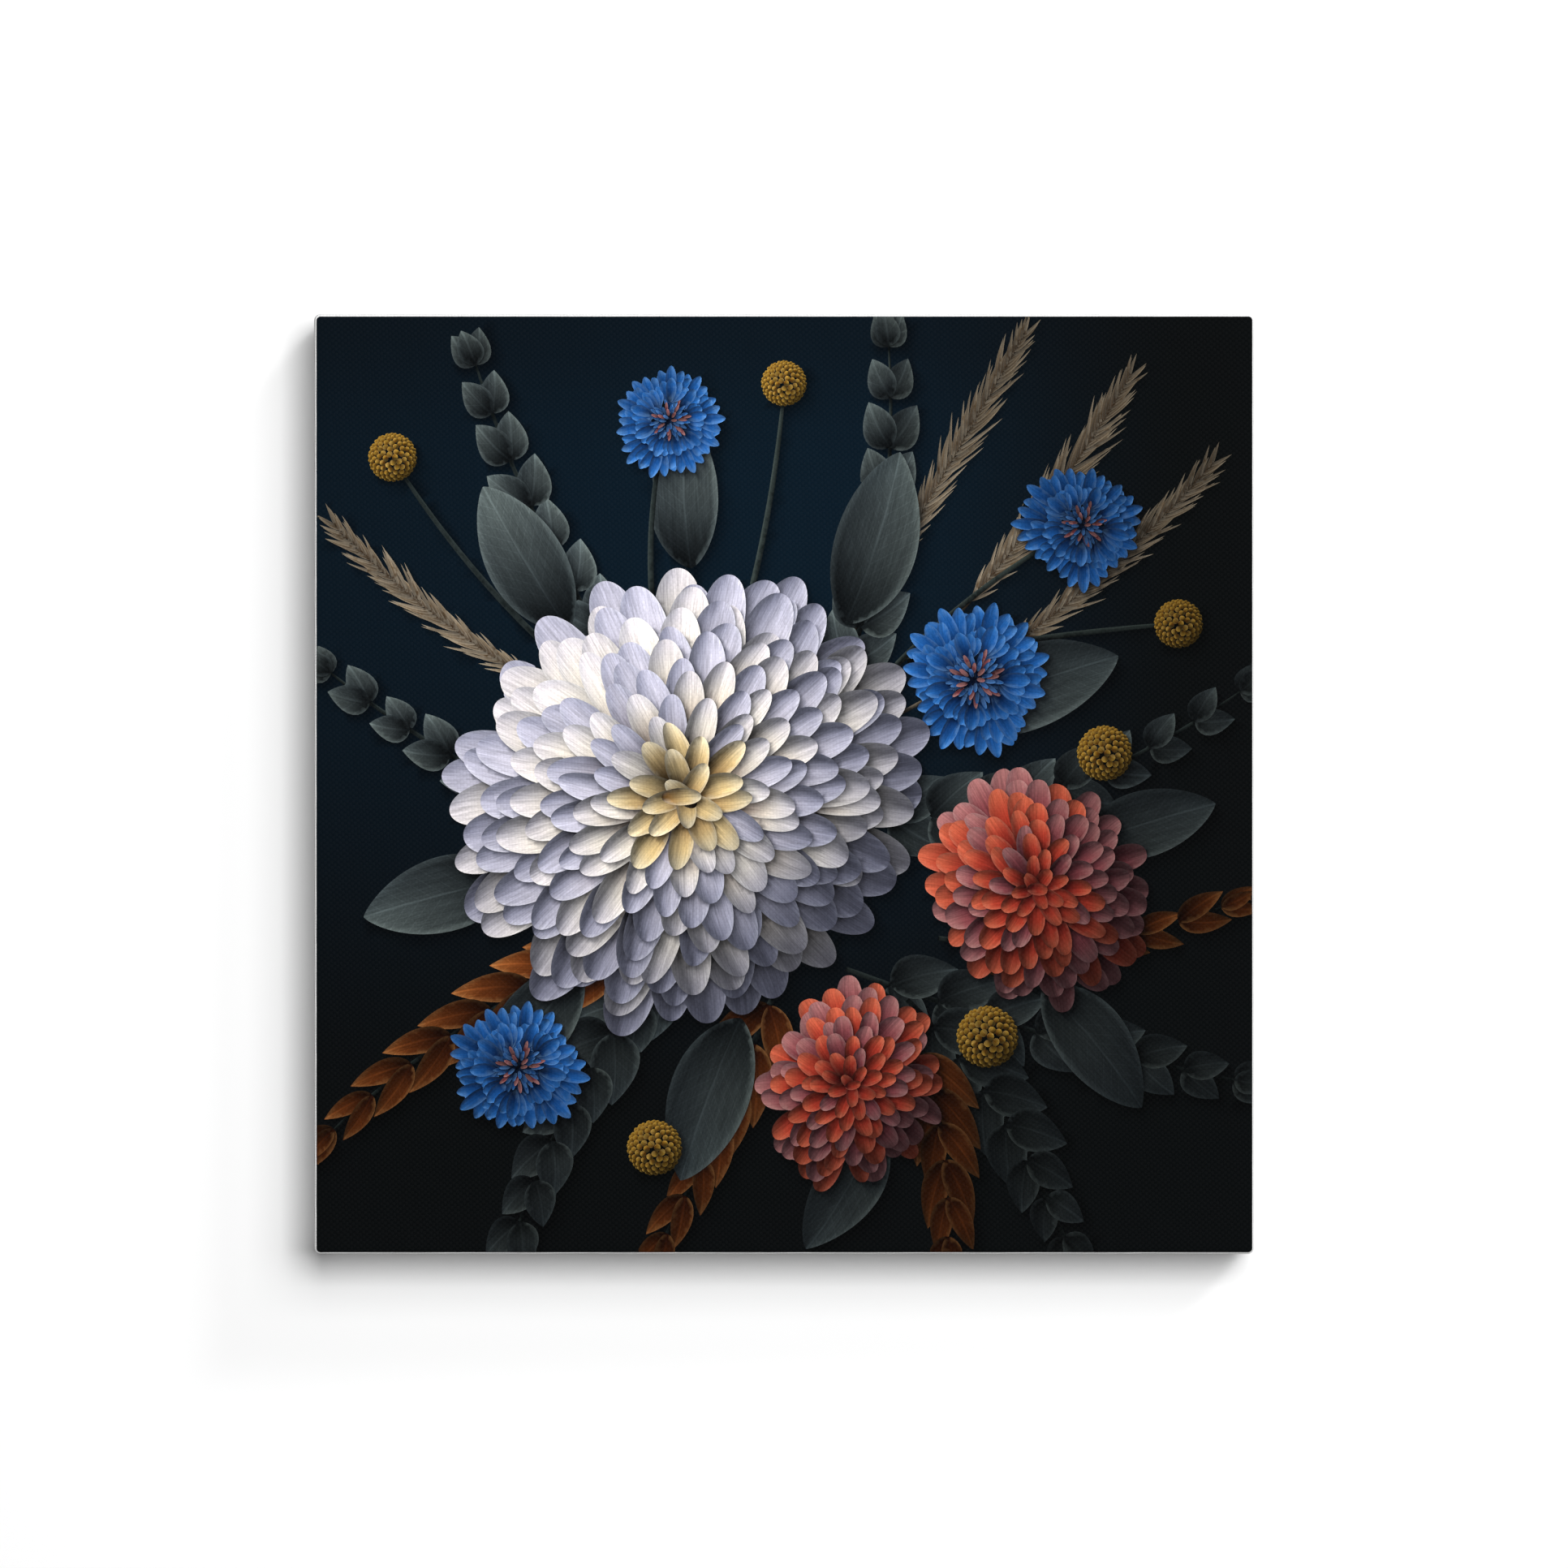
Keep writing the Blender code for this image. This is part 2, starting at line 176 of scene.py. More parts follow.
def wood_grain():
    """Sawn wood with its grain along X: rings round a distant heart, knots, fibres and planer's marks."""
    tree, entry, exit_node = group(
        "wood_grain",
        dict(Vector="Vector", Heart="Vector", Ring="Float", Pale="Color", Dark="Color", Contrast="Float"),
        dict(Color="Color", Roughness="Float", Height="Float"),
    )
    place = entry["Vector"]
    slow = place * SLOW_ALONG
    swayed = slow.noise(26.0, 3.0, 0.55)["Color"] * (0.0, WANDER, WANDER) + place
    across = (swayed - entry["Heart"]) * RINGS_ALONG
    strewn = entry["Heart"] * ANOTHER_LOG + place
    knot = add(tree, "ShaderNodeTexVoronoi", {"Vector": strewn, "Scale": KNOTS})
    rings = across.worked("LENGTH") / entry["Ring"] + knot.ranged(0.03, 0.20, 2.6, 0.0, smooth=True)
    year = rings.worked("FLOOR")
    season = rings - year
    uneven = add(tree, "ShaderNodeTexWhiteNoise", {"W": year}, noise_dimensions="1D")
    darkening = season.ranged(uneven.ranged(0.0, 1.0, 0.25, 0.6), LATE_END, smooth=True)
    ending = season.ranged(LATE_END, 1.0, 1.0, 0.0, smooth=True)
    ring = darkening * ending * uneven.ranged(0.0, 1.0, 1.0, 0.55)
    fibre = (place * FIBRES_ALONG).noise(FIBRES, 3.0, 0.6)
    blotch = slow.noise(60.0, 3.0, 0.6)
    dark = ring * 0.62 + fibre.ranged(0.3, 0.75, 0.0, 0.38) + blotch * 0.22
    dark = dark + knot.ranged(0.035, 0.075, 0.9, 0.0, smooth=True)
    dark = (dark * entry["Contrast"]).worked("MINIMUM", 1.0)
    planer = (place.parts()[0] * PLANER_MARKS).worked("SINE")
    feed(
        exit_node,
        Color=dark.mixed(entry["Pale"], entry["Dark"]),
        Roughness=dark.ranged(0.0, 1.0, 0.72, 0.56),
        Height=fibre * -0.6 + ring * 0.5 + planer * 0.05,
    )
    return tree


def grime():
    """Dust and handling marks: a patchy mask, thin all over and thicker in a few smudges."""
    tree, entry, exit_node = group("grime", dict(Vector="Vector", Amount="Float"), dict(Mask="Float"))
    smudge = entry["Vector"].noise(22.0, 4.0, 0.6).ranged(0.48, 0.78, smooth=True)
    speck = entry["Vector"].noise(900.0).ranged(0.66, 0.80)
    feed(exit_node, Mask=((speck * 0.5 + smudge) * entry["Amount"]).worked("MINIMUM", 1.0))
    return tree


WOOD_GRAIN = wood_grain()
GRIME = grime()


def object_place(tree, turn=0.0):
    """Where a point is on the object, in metres, with the pattern turned about Y."""
    spot = add(tree, "ShaderNodeTexCoord")["Object"]
    return add(tree, "ShaderNodeMapping", {"Vector": spot, "Rotation": (0.0, turn, 0.0)})


def soiled(place, amount):
    """The grime's mask on one piece."""
    return add(place.tree, "ShaderNodeGroup", {"Vector": place, "Amount": amount}, node_tree=GRIME)


def wood(name, kind, heart, upright):
    """A bare sawn wood whose grain runs up the piece, or across it."""
    made, tree, shader = finish(name, Specular_IOR_Level=0.3)
    place = object_place(tree, math.pi / 2 if upright else 0.0)
    grain = add(tree, "ShaderNodeGroup", {"Vector": place, "Heart": heart, **kind}, node_tree=WOOD_GRAIN)
    colour = soiled(place, 0.22).mixed(grain["Color"], (0.20, 0.15, 0.10))
    relief = bump(grain["Height"], PLANED_DEPTH, 0.7)
    feed(shader, Base_Color=colour, Roughness=grain["Roughness"], Normal=relief)
    return made


def merged_copy(name, node):
    """A CAD node's shape as one welded mesh whose flat faces are whole again."""
    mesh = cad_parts[node].data.copy()
    mesh.name = name
    mesh.materials.clear()
    bm = bmesh.new()
    bm.from_mesh(mesh)
    bmesh.ops.remove_doubles(bm, verts=bm.verts, dist=MERGE)
    bmesh.ops.dissolve_limit(bm, angle_limit=FLAT_ANGLE, verts=bm.verts, edges=bm.edges)
    bm.to_mesh(mesh)
    bm.free()
    return mesh


def placed(name, mesh, material=None):
    """A piece whose place is in its mesh."""
    made = bpy.data.objects.new(name, mesh)
    bpy.context.scene.collection.objects.link(made)
    if material:
        mesh.materials.append(material)
    return made


def settle(made):
    """Applies a piece's modifiers to its mesh."""
    seen = made.evaluated_get(bpy.context.evaluated_depsgraph_get())
    mesh = bpy.data.meshes.new_from_object(seen)
    made.modifiers.clear()
    made.data = mesh


def softened(name, node, material, width, angle=30):
    """A copy of a CAD node with its edges rounded, standing for it."""
    made = placed(name, merged_copy(name, node), material)
    made.data.shade_smooth()
    bevel = made.modifiers.new("arris", "BEVEL")
    bevel.width = width
    bevel.segments = 2
    bevel.angle_limit = math.radians(angle)
    bevel.use_clamp_overlap = True
    bevel.harden_normals = True
    settle(made)
    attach(made, "root")
    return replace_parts(made, node)


for side, heart in zip(SIDES, PINE_HEARTS):
    pine = wood(f"pine_{side}", PINE, heart, side in ("left", "right"))
    softened(f"{side}_bar", f"bar_{side}", pine, ARRIS)


# ---- Keys -------------------------------------------------------------------------------------------
# Eight sawn beech wedges, two in each corner's slots. Tapped in, they push the bars apart and tighten the
# canvas. Beech is closer and plainer than pine, and each wedge is sawn from its own place in the log.

BEECH = {
    "Pale": (0.52, 0.315, 0.175, 1.0),
    "Dark": (0.30, 0.145, 0.072, 1.0),
    "Ring": 0.0022,
    "Contrast": 0.75,
}
KEY_ARRIS = 0.0003

for number, side in enumerate(SIDES):
    for end in "ab":
        heart = (0.013 * number, 0.024 + 0.003 * number, 0.030 if end == "a" else -0.034)
        beech = wood(f"beech_{side}_{end}", BEECH, heart, side in ("top", "bottom"))
        softened(f"{side}_key_{end}", f"key_{side}_{end}", beech, KEY_ARRIS)


# ---- Printed picture --------------------------------------------------------------------------------
# The inks on the canvas's front: dahlias, cornflowers, drumsticks, leaves and grasses, lit from the upper
# left on a near-black navy ground. Every petal, leaf and stem is one tapering blade, laid over those before.

PRINT_SEED = 7
FLAT_HALF = 0.1509  # half the width of the front's flat part
INK_MARGIN = 0.002  # how far past it a blade can still show
SHADE_CELL = 0.00025  # the fineness at which one blade shades another
INKS = {  # each ink at a blade's root, body, tip and rim
    "ivory": ("#a8805c", "#efe5d6", "#d9d3dc", "#fffaf0"),
    "lilac": ("#8a7a78", "#c9c5d2", "#b2b1c4", "#ecebf4"),
    "cream": ("#8c5f2a", "#e2c48a", "#efe0bd", "#fff4d8"),
    "coral": ("#7a1f22", "#d94b37", "#ee7a58", "#ff9c7c"),
    "rose": ("#5a2228", "#a8575c", "#c98a86", "#e3b3aa"),
    "cobalt": ("#0c2450", "#2466b4", "#3f86d4", "#86b8ee"),
    "ochre": ("#6a3c0c", "#c08a26", "#e0b148", "#f3cf78"),
    "charcoal": ("#141819", "#3d4444", "#56605f", "#7b8784"),
    "rust": ("#2a1006", "#6e3817", "#96592c", "#b9824e"),
    "stem": ("#0f1414", "#2c3432", "#39433f", "#5a6661"),
    "straw": ("#5c4630", "#a58a68", "#cdb896", "#e9dcc2"),
}
INK_NAMES = list(INKS)
GLOW_INK = "#071621"
GROUND_INK = "#060809"
GOLDEN = math.radians(137.508)  # the turn from one petal or floret to the next
HEAD_RINGS = ((11, 1.0), (9, 0.72))  # a cornflower's florets, and their length as a share of its radius
TEETH = (-0.85, 0.85, -0.45, 0.45, 0.0)  # how far each of a floret's teeth spreads
TUFT = 46  # florets in a cornflower's middle
HAIR_WIDE = 0.00055  # a grass hair's half width

SUN = np.array((-0.48, 0.55, 0.68)) / math.hypot(-0.48, 0.55, 0.68)  # towards the picture's own light
SUN_LEVEL = 0.73  # how long it is across the picture
SUN_WIDE = (0.35, -0.25)  # how far it shifts from one of its ends to the other
SHADOW_RUNS = (0.0004, 0.0009, 0.0015, 0.0022, 0.0030, 0.0042, 0.0056, 0.0075)
SHADOW_LOW = 1.23  # lowers the sun for the shadows that blades cast
SHADOW_SOFT = 0.0012
SHADOW_FADE = 0.004
SHADOW_FULL = 1.5
SHADOW_DEEP = 0.86
SKY_RINGS = (0.0015, 0.0032, 0.0060)
SKY_WAYS = 8
SKY_TURN = 0.26  # from one ring's first way to the next ring's
SKY_SLOPE = 1.2
SKY_FULL = 1.3
SKY_DEEP = 0.95
SUN_LIGHT = 1.05
SKY_LIGHT = 0.20
SPOT_AT = (-0.045, 0.03)  # where the picture is brightest
SPOT_WIDE = (0.125, 0.13)
SPOT_LIGHT = 0.86
SPOT_BEYOND = 0.16  # what is left of the light outside it
GLOW_UP = (-0.11, 0.07)  # over what heights the ground's glow rises
GLOW_TOP = (0.10, 0.155, 0.45)  # where it falls again above, and by how much
GLOW_RIGHT = (0.02, 0.135, 1.0)  # and to the right
GLOW_LEFT = (0.02, 0.15, 0.3)  # and to the left
GROUND_DEEP = 0.64  # how much a shadow darkens the ground
BODY_FROM = 0.60  # how far along a blade its body ink has replaced the root's, at the least
BODY_VARIES = 0.36
TIP_OVER = (0.6, 1.0)  # over what share of the length the tip's ink comes in
TIP_SHARE = 0.8
RIM_OVER = (0.8, 1.0)  # and the rim's, over the width
RIM_SHARE = 0.35
SHADE_TINT = np.array((-0.20, -0.10, 0.15)) * 0.6  # shaded inks are bluer

draw = np.random.default_rng(PRINT_SEED)
blades = []


def linear(code):
    """A colour code as linear red, green and blue."""
    seen = np.array([int(code[i : i + 2], 16) / 255 for i in (1, 3, 5)])
    return np.where(seen <= 0.04045, seen / 12.92, ((seen + 0.055) / 1.055) ** 2.4)


def lay(x, z, angle, length, width, ink, low, high, blunt=(0.5, 0.5), **rest):
    """Lays one petal, leaf or stem: its start, its angle, its size, and how high its two ends stand."""
    made = {"bend": 0.0, "cup": 0.5, "arch": 0.0, "tilt": 0.0, "light": 1.0, "leafy": 0.0, **rest}
    made.update(x=x, z=z, angle=angle, length=length, width=width, root=blunt[0], tip=blunt[1])
    made.update(low=low, high=high, ink=INK_NAMES.index(ink), seed=draw.random())
    blades.append(made)


def dahlia(x, z, radius, petals, inks, height, squash, lean, blunt, plump=1.0):
    """A double flower, tipped towards lean: its petals on a golden-angle spiral, the outermost lowest."""
    tipped = np.array(((math.cos(lean), math.sin(lean)), (-math.sin(lean), math.cos(lean))))
    tipped = tipped.T @ np.diag((1.0, squash)) @ tipped
    for k in reversed(range(petals)):
        out = math.sqrt((k + 0.6) / petals)
        turn = k * GOLDEN + draw.normal(0, 0.05)
        ray = np.array((math.cos(turn), math.sin(turn)))
        tip = radius * out**0.9 * draw.normal(1, 0.03)
        root = tip - radius * (0.13 + 0.51 * out) * draw.normal(1, 0.06)
        start, end = tipped @ (ray * root), tipped @ (ray * tip)
        way = end - start
        ink = inks[0] if draw.random() > 0.15 + 0.5 * out else inks[1]
        if out < 0.30:
            ink = inks[2]
        lay(
            x + start[0], z + start[1], math.atan2(way[1], way[0]), math.hypot(*way),
            radius * (0.034 + 0.062 * out) * plump * draw.normal(1, 0.06), ink,
            height + radius * 0.30 * (1 - out),
            height + radius * (0.44 - 0.40 * out**2) + 0.0012 * draw.random(),
            (0.45 + (blunt[0] - 0.45) * out, blunt[1]), bend=draw.normal(0, 0.07), cup=0.75, arch=0.12,
            tilt=0.55 * (1 - out) - 0.95 * out**2,
            light=0.90 + 0.20 * draw.random() - 0.25 * (1 - out) ** 3,
        )


def cornflower(x, z, radius, height, turn):
    """Two rings of florets, each a tube that flares into five teeth, round a tuft."""
    for ring, (florets, share) in enumerate(HEAD_RINGS):
        for i in range(florets):
            way = turn + ring * 0.3 + 2 * math.pi * i / florets + draw.normal(0, 0.08)
            long = radius * share * draw.normal(1, 0.06)
            tube = radius * 0.07
            lay(x, z, way, long * 0.62, tube, "cobalt", height, height + 0.003, (0.5, 0.1), light=0.6)
            mouth = long * 0.42
            for step, spread in enumerate(TEETH):
                lay(
                    x + math.cos(way) * mouth, z + math.sin(way) * mouth, way + spread * 0.75,
                    long * (0.62 - 0.12 * abs(spread)), radius * 0.105, "cobalt", height + 0.002,
                    height + 0.005 + 0.0006 * step, (0.8, 0.6), bend=spread * 0.15,
                    light=0.85 + 0.3 * draw.random(),
                )
    for i in reversed(range(TUFT)):
        out = math.sqrt((i + 0.5) / TUFT)
        way = i * GOLDEN
        at = radius * 0.216 * out
        lay(
            x + at * math.cos(way), z + at * math.sin(way), way + draw.normal(0, 0.2),
            radius * (0.10 + 0.12 * out), radius * 0.03, "cobalt" if i % 3 else "rose",
            height + 0.006, height + 0.011, cup=0.4, light=0.55 + 0.5 * draw.random(),
        )


def drumstick(x, z, radius, height, florets=110):
    """A round head packed with tiny florets."""
    for i in reversed(range(florets)):
        out = math.sqrt((i + 0.5) / florets)
        way = i * GOLDEN
        size = radius * 0.125 * (0.55 + 0.45 * math.cos(out * math.pi / 2))
        at = radius * math.sin(out * 1.54) - size
        level = height + radius * math.cos(out * 1.5)
        lay(
            x + at * math.cos(way), z + at * math.sin(way), way, 2 * size, size * 1.15, "ochre",
            level, level, cup=-0.7, tilt=-1.6 * out**2,
        )


def leaf(x, z, angle, length, width, ink, height, bend, light, blunt=(0.62, 0.95)):
    """A veined leaf, a little higher at its tip."""
    tip = height + 0.004
    shape = {"bend": bend, "cup": 0.35, "arch": 0.2, "tilt": -0.1}
    lay(x, z, angle, length, width, ink, height, tip, blunt, light=light, leafy=1.0, **shape)


def bent(start, towards, end):
    """A stem's run in millimetres, setting off towards one point and ending at another."""
    start, towards, end = (np.array(p) * 0.001 for p in (start, towards, end))
    ahead = (towards - start) / math.hypot(*(towards - start))
    gone = end - start
    length = float(gone @ ahead)
    bend = float(ahead[0] * gone[1] - ahead[1] * gone[0]) / length
    return start, math.atan2(ahead[1], ahead[0]), length, bend


def on_stem(stem, share):
    """A place on a stem, and the way that the stem points there."""
    start, angle, length, bend = stem
    ahead = np.array((math.cos(angle), math.sin(angle)))
    aside = np.array((-ahead[1], ahead[0]))
    return start + length * share * (ahead + bend * share * aside), angle + math.atan(2 * bend * share)


def stalk(stem, width, ink, height, light=1.0):
    """A stem, thin at its far end, with its edges turned down."""
    start, angle, length, bend = stem
    lay(*start, angle, length, width, ink, height, height, (0.05, 0.22), bend=bend, cup=-0.9, light=light)


def sprig(stem, pairs, length, width, ink, height, light, spread=0.85):
    """A stem with leaves in pairs, smaller towards its end."""
    stalk(stem, 0.0009, "stem", height, light)
    for i in range(pairs):
        share = 0.12 + 0.88 * i / (pairs - 1)
        place, way = on_stem(stem, share)
        size = (1 - 0.45 * share) * draw.normal(1, 0.07)
        for side in (-1, 1):
            turn = way + side * spread * (1 - 0.35 * share) + draw.normal(0, 0.07)
            level = height + 0.001 * i
            glow = light * draw.normal(1, 0.08)
            leaf(*place, turn, length * size, width * size, ink, level, -side * 0.16, glow)
    leaf(*place, way, length * 0.5, width * 0.5, ink, height + 0.001 * pairs, 0.1, light)


def grass(stem, hairs, length, light):
    """A feathery seed head of fine hairs."""
    stalk(stem, 0.0006, "straw", 0.0, light * 0.7)
    for i in range(hairs):
        share = 0.45 + 0.55 * i / (hairs - 1)
        place, way = on_stem(stem, share)
        side = 1 if i % 2 else -1
        plume = 0.35 + 0.65 * math.sin(math.pi * min(1, (share - 0.40) / 0.62)) ** 0.7
        lay(
            *place, way + side * (0.30 + 0.25 * draw.random()), length * plume * draw.normal(1, 0.1),
            HAIR_WIDE, "straw", 0.002, 0.003, (0.4, 0.9), bend=side * -0.10 + draw.normal(0, 0.04), cup=0.2,
            light=light * (0.75 + 0.4 * draw.random()),
        )


def arrangement():
    """The whole picture, from the back forwards. Places are in millimetres from its middle."""
    for stem, hairs, length, light in (
        (((10, 10), (70, 60), (112, 132)), 110, 0.017, 0.9),
        (((10, 10), (84, 40), (139, 104)), 100, 0.015, 0.8),
        (((0, 10), (40, 80), (78, 146)), 90, 0.015, 0.8),
        (((-20, 10), (-110, 30), (-146, 84)), 90, 0.014, 0.7),
    ):
        grass(bent(*stem), hairs, length, light)
    for stem, pairs, length, width, light in (
        (((0, 0), (50, 70), (34, 142)), 10, 0.024, 0.0085, 1.1),
        (((-20, 0), (-80, 60), (-100, 136)), 10, 0.024, 0.0085, 1.2),
        (((-40, -20), (-110, 0), (-147, 36)), 8, 0.022, 0.0075, 1.0),
        (((20, -10), (100, -20), (148, 30)), 9, 0.022, 0.0075, 1.1),
        (((20, -60), (100, -90), (146, -96)), 8, 0.024, 0.008, 1.0),
        (((-30, -50), (-80, -100), (-90, -156)), 9, 0.024, 0.0085, 0.9),
        (((40, -70), (90, -120), (96, -160)), 8, 0.024, 0.008, 0.8),
    ):
        sprig(bent(*stem), pairs, length, width, "charcoal", 0.001, light)
    for stem, pairs, length, width, light in (
        (((-40, -50), (-110, -70), (-146, -112)), 8, 0.030, 0.0056, 1.15),
        (((0, -60), (-20, -110), (-44, -158)), 8, 0.028, 0.0056, 1.1),
        (((50, -50), (110, -60), (142, -40)), 7, 0.024, 0.0050, 1.1),
        (((40, -80), (60, -120), (52, -160)), 7, 0.028, 0.0056, 1.0),
    ):
        sprig(bent(*stem), pairs, length, width, "rust", 0.004, light, spread=0.62)
    for x, z, angle, length in (
        (20, 52, 1.15, 58), (-70, 50, 2.15, 54), (-86, -30, 3.35, 52), (-66, -60, 4.0, 50),
        (50, 20, 0.45, 62), (96, -20, 0.35, 46), (84, -66, -0.75, 50), (30, -110, -1.9, 46),
        (-14, -76, -2.0, 56), (-30, 70, 1.75, 48),
    ):
        long = length * 0.001
        bend = draw.normal(0, 0.12)
        leaf(x * 0.001, z * 0.001, angle, long, long * 0.235, "charcoal", 0.006, bend, 1.25, (0.7, 0.8))
    for stem in (
        ((20, 20), (60, 70), (96, 84)),
        ((-40, 40), (-50, 90), (-38, 118)),
        ((-20, 30), (0, 90), (0, 128)),
        ((40, 40), (90, 50), (128, 52)),
        ((-60, 30), (-110, 70), (-126, 104)),
    ):
        stalk(bent(*stem), 0.0010, "stem", 0.005)
    cornflower(0.097, 0.084, 0.019, 0.010, 0.2)
    cornflower(-0.037, 0.118, 0.017, 0.010, 0.5)
    drumstick(0.0, 0.130, 0.0070, 0.012)
    drumstick(0.128, 0.052, 0.0075, 0.012)
    drumstick(-0.127, 0.106, 0.0075, 0.012)
    dahlia(0.082, -0.034, 0.042, 120, ("coral", "rose", "coral"), 0.020, 0.86, 2.2, (0.8, 0.42), 1.2)
    dahlia(0.022, -0.098, 0.036, 110, ("coral", "rose", "coral"), 0.020, 0.84, 1.2, (0.8, 0.42), 1.2)
    cornflower(-0.086, -0.092, 0.021, 0.022, 0.9)
    cornflower(0.062, 0.034, 0.024, 0.022, 0.3)
    drumstick(0.066, -0.082, 0.0095, 0.026)
    drumstick(-0.042, -0.118, 0.0085, 0.020)
    drumstick(0.104, 0.010, 0.0085, 0.020)
    dahlia(-0.032, -0.004, 0.082, 230, ("ivory", "lilac", "cream"), 0.030, 0.92, 0.6, (0.95, 0.48))


def smooth(low, high, value):
    """0 below a range, 1 above it, and an even curve between."""
    share = np.clip((value - low) / (high - low), 0, 1)
    return share * share * (3 - 2 * share)


def half_width(blade, along):
    """A blade's half width at a share of its length."""
    peak = blade["root"] / (blade["root"] + blade["tip"])
    top = peak ** blade["root"] * (1 - peak) ** blade["tip"]
    along = np.clip(along, 1e-6, 1 - 1e-6)
    return blade["width"] * along ** blade["root"] * (1 - along) ** blade["tip"] / top


def on_blade(blade, x, z):
    """A place seen along its blade, as a share of the length, and beside its midline, in metres."""
    right, up = x - blade["x"], z - blade["z"]
    cosine, sine = np.cos(blade["angle"]), np.sin(blade["angle"])
    along = (right * cosine + up * sine) / blade["length"]
    beside = up * cosine - right * sine - blade["bend"] * blade["length"] * along**2
    return along, beside


def across_blade(blade, along, beside):
    """A place across its blade, from -1 at one edge to 1 at the other."""
    return np.clip(beside / half_width(blade, np.clip(along, 0.02, 0.98)), -1, 1)


def inside(blade, x, z):
    """Whether places are within a blade's edges."""
    along, beside = on_blade(blade, x, z)
    return (along > 0) & (along < 1) & (np.abs(beside) < half_width(blade, along))


def level_at(blade, x, z):
    """How high a blade's surface stands."""
    along, beside = on_blade(blade, x, z)
    across = across_blade(blade, along, beside)
    spine = blade["low"] + (blade["high"] - blade["low"]) * along
    return spine + blade["cup"] * blade["width"] * 0.5 * across**2


def blade_box(blade):
    """The middle and the half size of the box round a blade."""
    ahead = np.array((math.cos(blade["angle"]), math.sin(blade["angle"]))) * blade["length"]
    swung = np.array((-ahead[1], ahead[0])) * blade["bend"]
    corners = np.array(((0.0, 0.0), ahead, ahead + swung, ahead / 2))
    low, high = corners.min(0) - blade["width"], corners.max(0) + blade["width"]
    return np.array((blade["x"], blade["z"])) + (low + high) / 2, (high - low) / 2


def topmost(x, z):
    """The number of the last blade laid at each place, or -1 on the ground."""
    found = np.full(len(x), -1)
    for number, blade in enumerate(blades):
        middle, half = blade_box(blade)
        near = np.flatnonzero((np.abs(x - middle[0]) < half[0]) & (np.abs(z - middle[1]) < half[1]))
        found[near[inside(blade, x[near], z[near])]] = number
    return found


def relief():
    """The height of the topmost blade in each small cell of the picture."""
    cells = int(2 * (FLAT_HALF + INK_MARGIN) / SHADE_CELL)
    centres = (np.arange(cells) + 0.5 - cells / 2) * SHADE_CELL
    height = np.zeros((cells, cells))
    for blade in blades:
        middle, half = blade_box(blade)
        first = np.clip(((middle - half) / SHADE_CELL + cells / 2).astype(int), 0, cells)
        last = np.clip(((middle + half) / SHADE_CELL + cells / 2).astype(int) + 1, 0, cells)
        x, z = np.meshgrid(centres[first[0] : last[0]], centres[first[1] : last[1]])
        held = inside(blade, x, z)
        height[first[1] : last[1], first[0] : last[0]][held] = level_at(blade, x, z)[held]
    return height


def height_at(x, z):
    """The height that was found for the cell at each place."""
    cells = len(heights)
    across = np.clip((x / SHADE_CELL + cells / 2).astype(int), 0, cells - 1)
    up = np.clip((z / SHADE_CELL + cells / 2).astype(int), 0, cells - 1)
    return heights[up, across]


def shadow(own, x, z):
    """How much of the sun is hidden from a place at its own height."""
    total = weight = 0.0
    for run in SHADOW_RUNS:
        for swing in (-0.5, 0.0, 0.5):
            right, up = ((SUN[i] + swing * SUN_WIDE[i]) / SUN_LEVEL * run for i in (0, 1))
            above = height_at(x + right, z + up) - own - run * SUN[2] * SHADOW_LOW
            total += np.clip(above / SHADOW_SOFT, 0, 1) / (1 + run / SHADOW_FADE)
            weight += 1 / (1 + run / SHADOW_FADE)
    return np.clip(SHADOW_FULL * total / weight, 0, 1)


def closeness(own, x, z):
    """How much of the sky is hidden by higher blades close by."""
    total = 0.0
    for ring, far in enumerate(SKY_RINGS):
        for turn in np.arange(SKY_WAYS) * 2 * math.pi / SKY_WAYS + ring * SKY_TURN:
            there = height_at(x + far * math.cos(turn), z + far * math.sin(turn))
            total += np.clip((there - own) / (far * SKY_SLOPE), 0, 1)
    return np.clip(SKY_FULL * total / (len(SKY_RINGS) * SKY_WAYS), 0, 1)


def glowing_ground(x, z):
    """Navy, brightest behind the upper middle, falling to near black at the right and the bottom."""
    glow = smooth(*GLOW_UP, z)
    for (near, far, fall), away in ((GLOW_TOP, z), (GLOW_RIGHT, x), (GLOW_LEFT, -x)):
        glow = glow * (1 - fall * smooth(near, far, away))
    return linear(GROUND_INK) + (linear(GLOW_INK) - linear(GROUND_INK)) * glow[:, None]


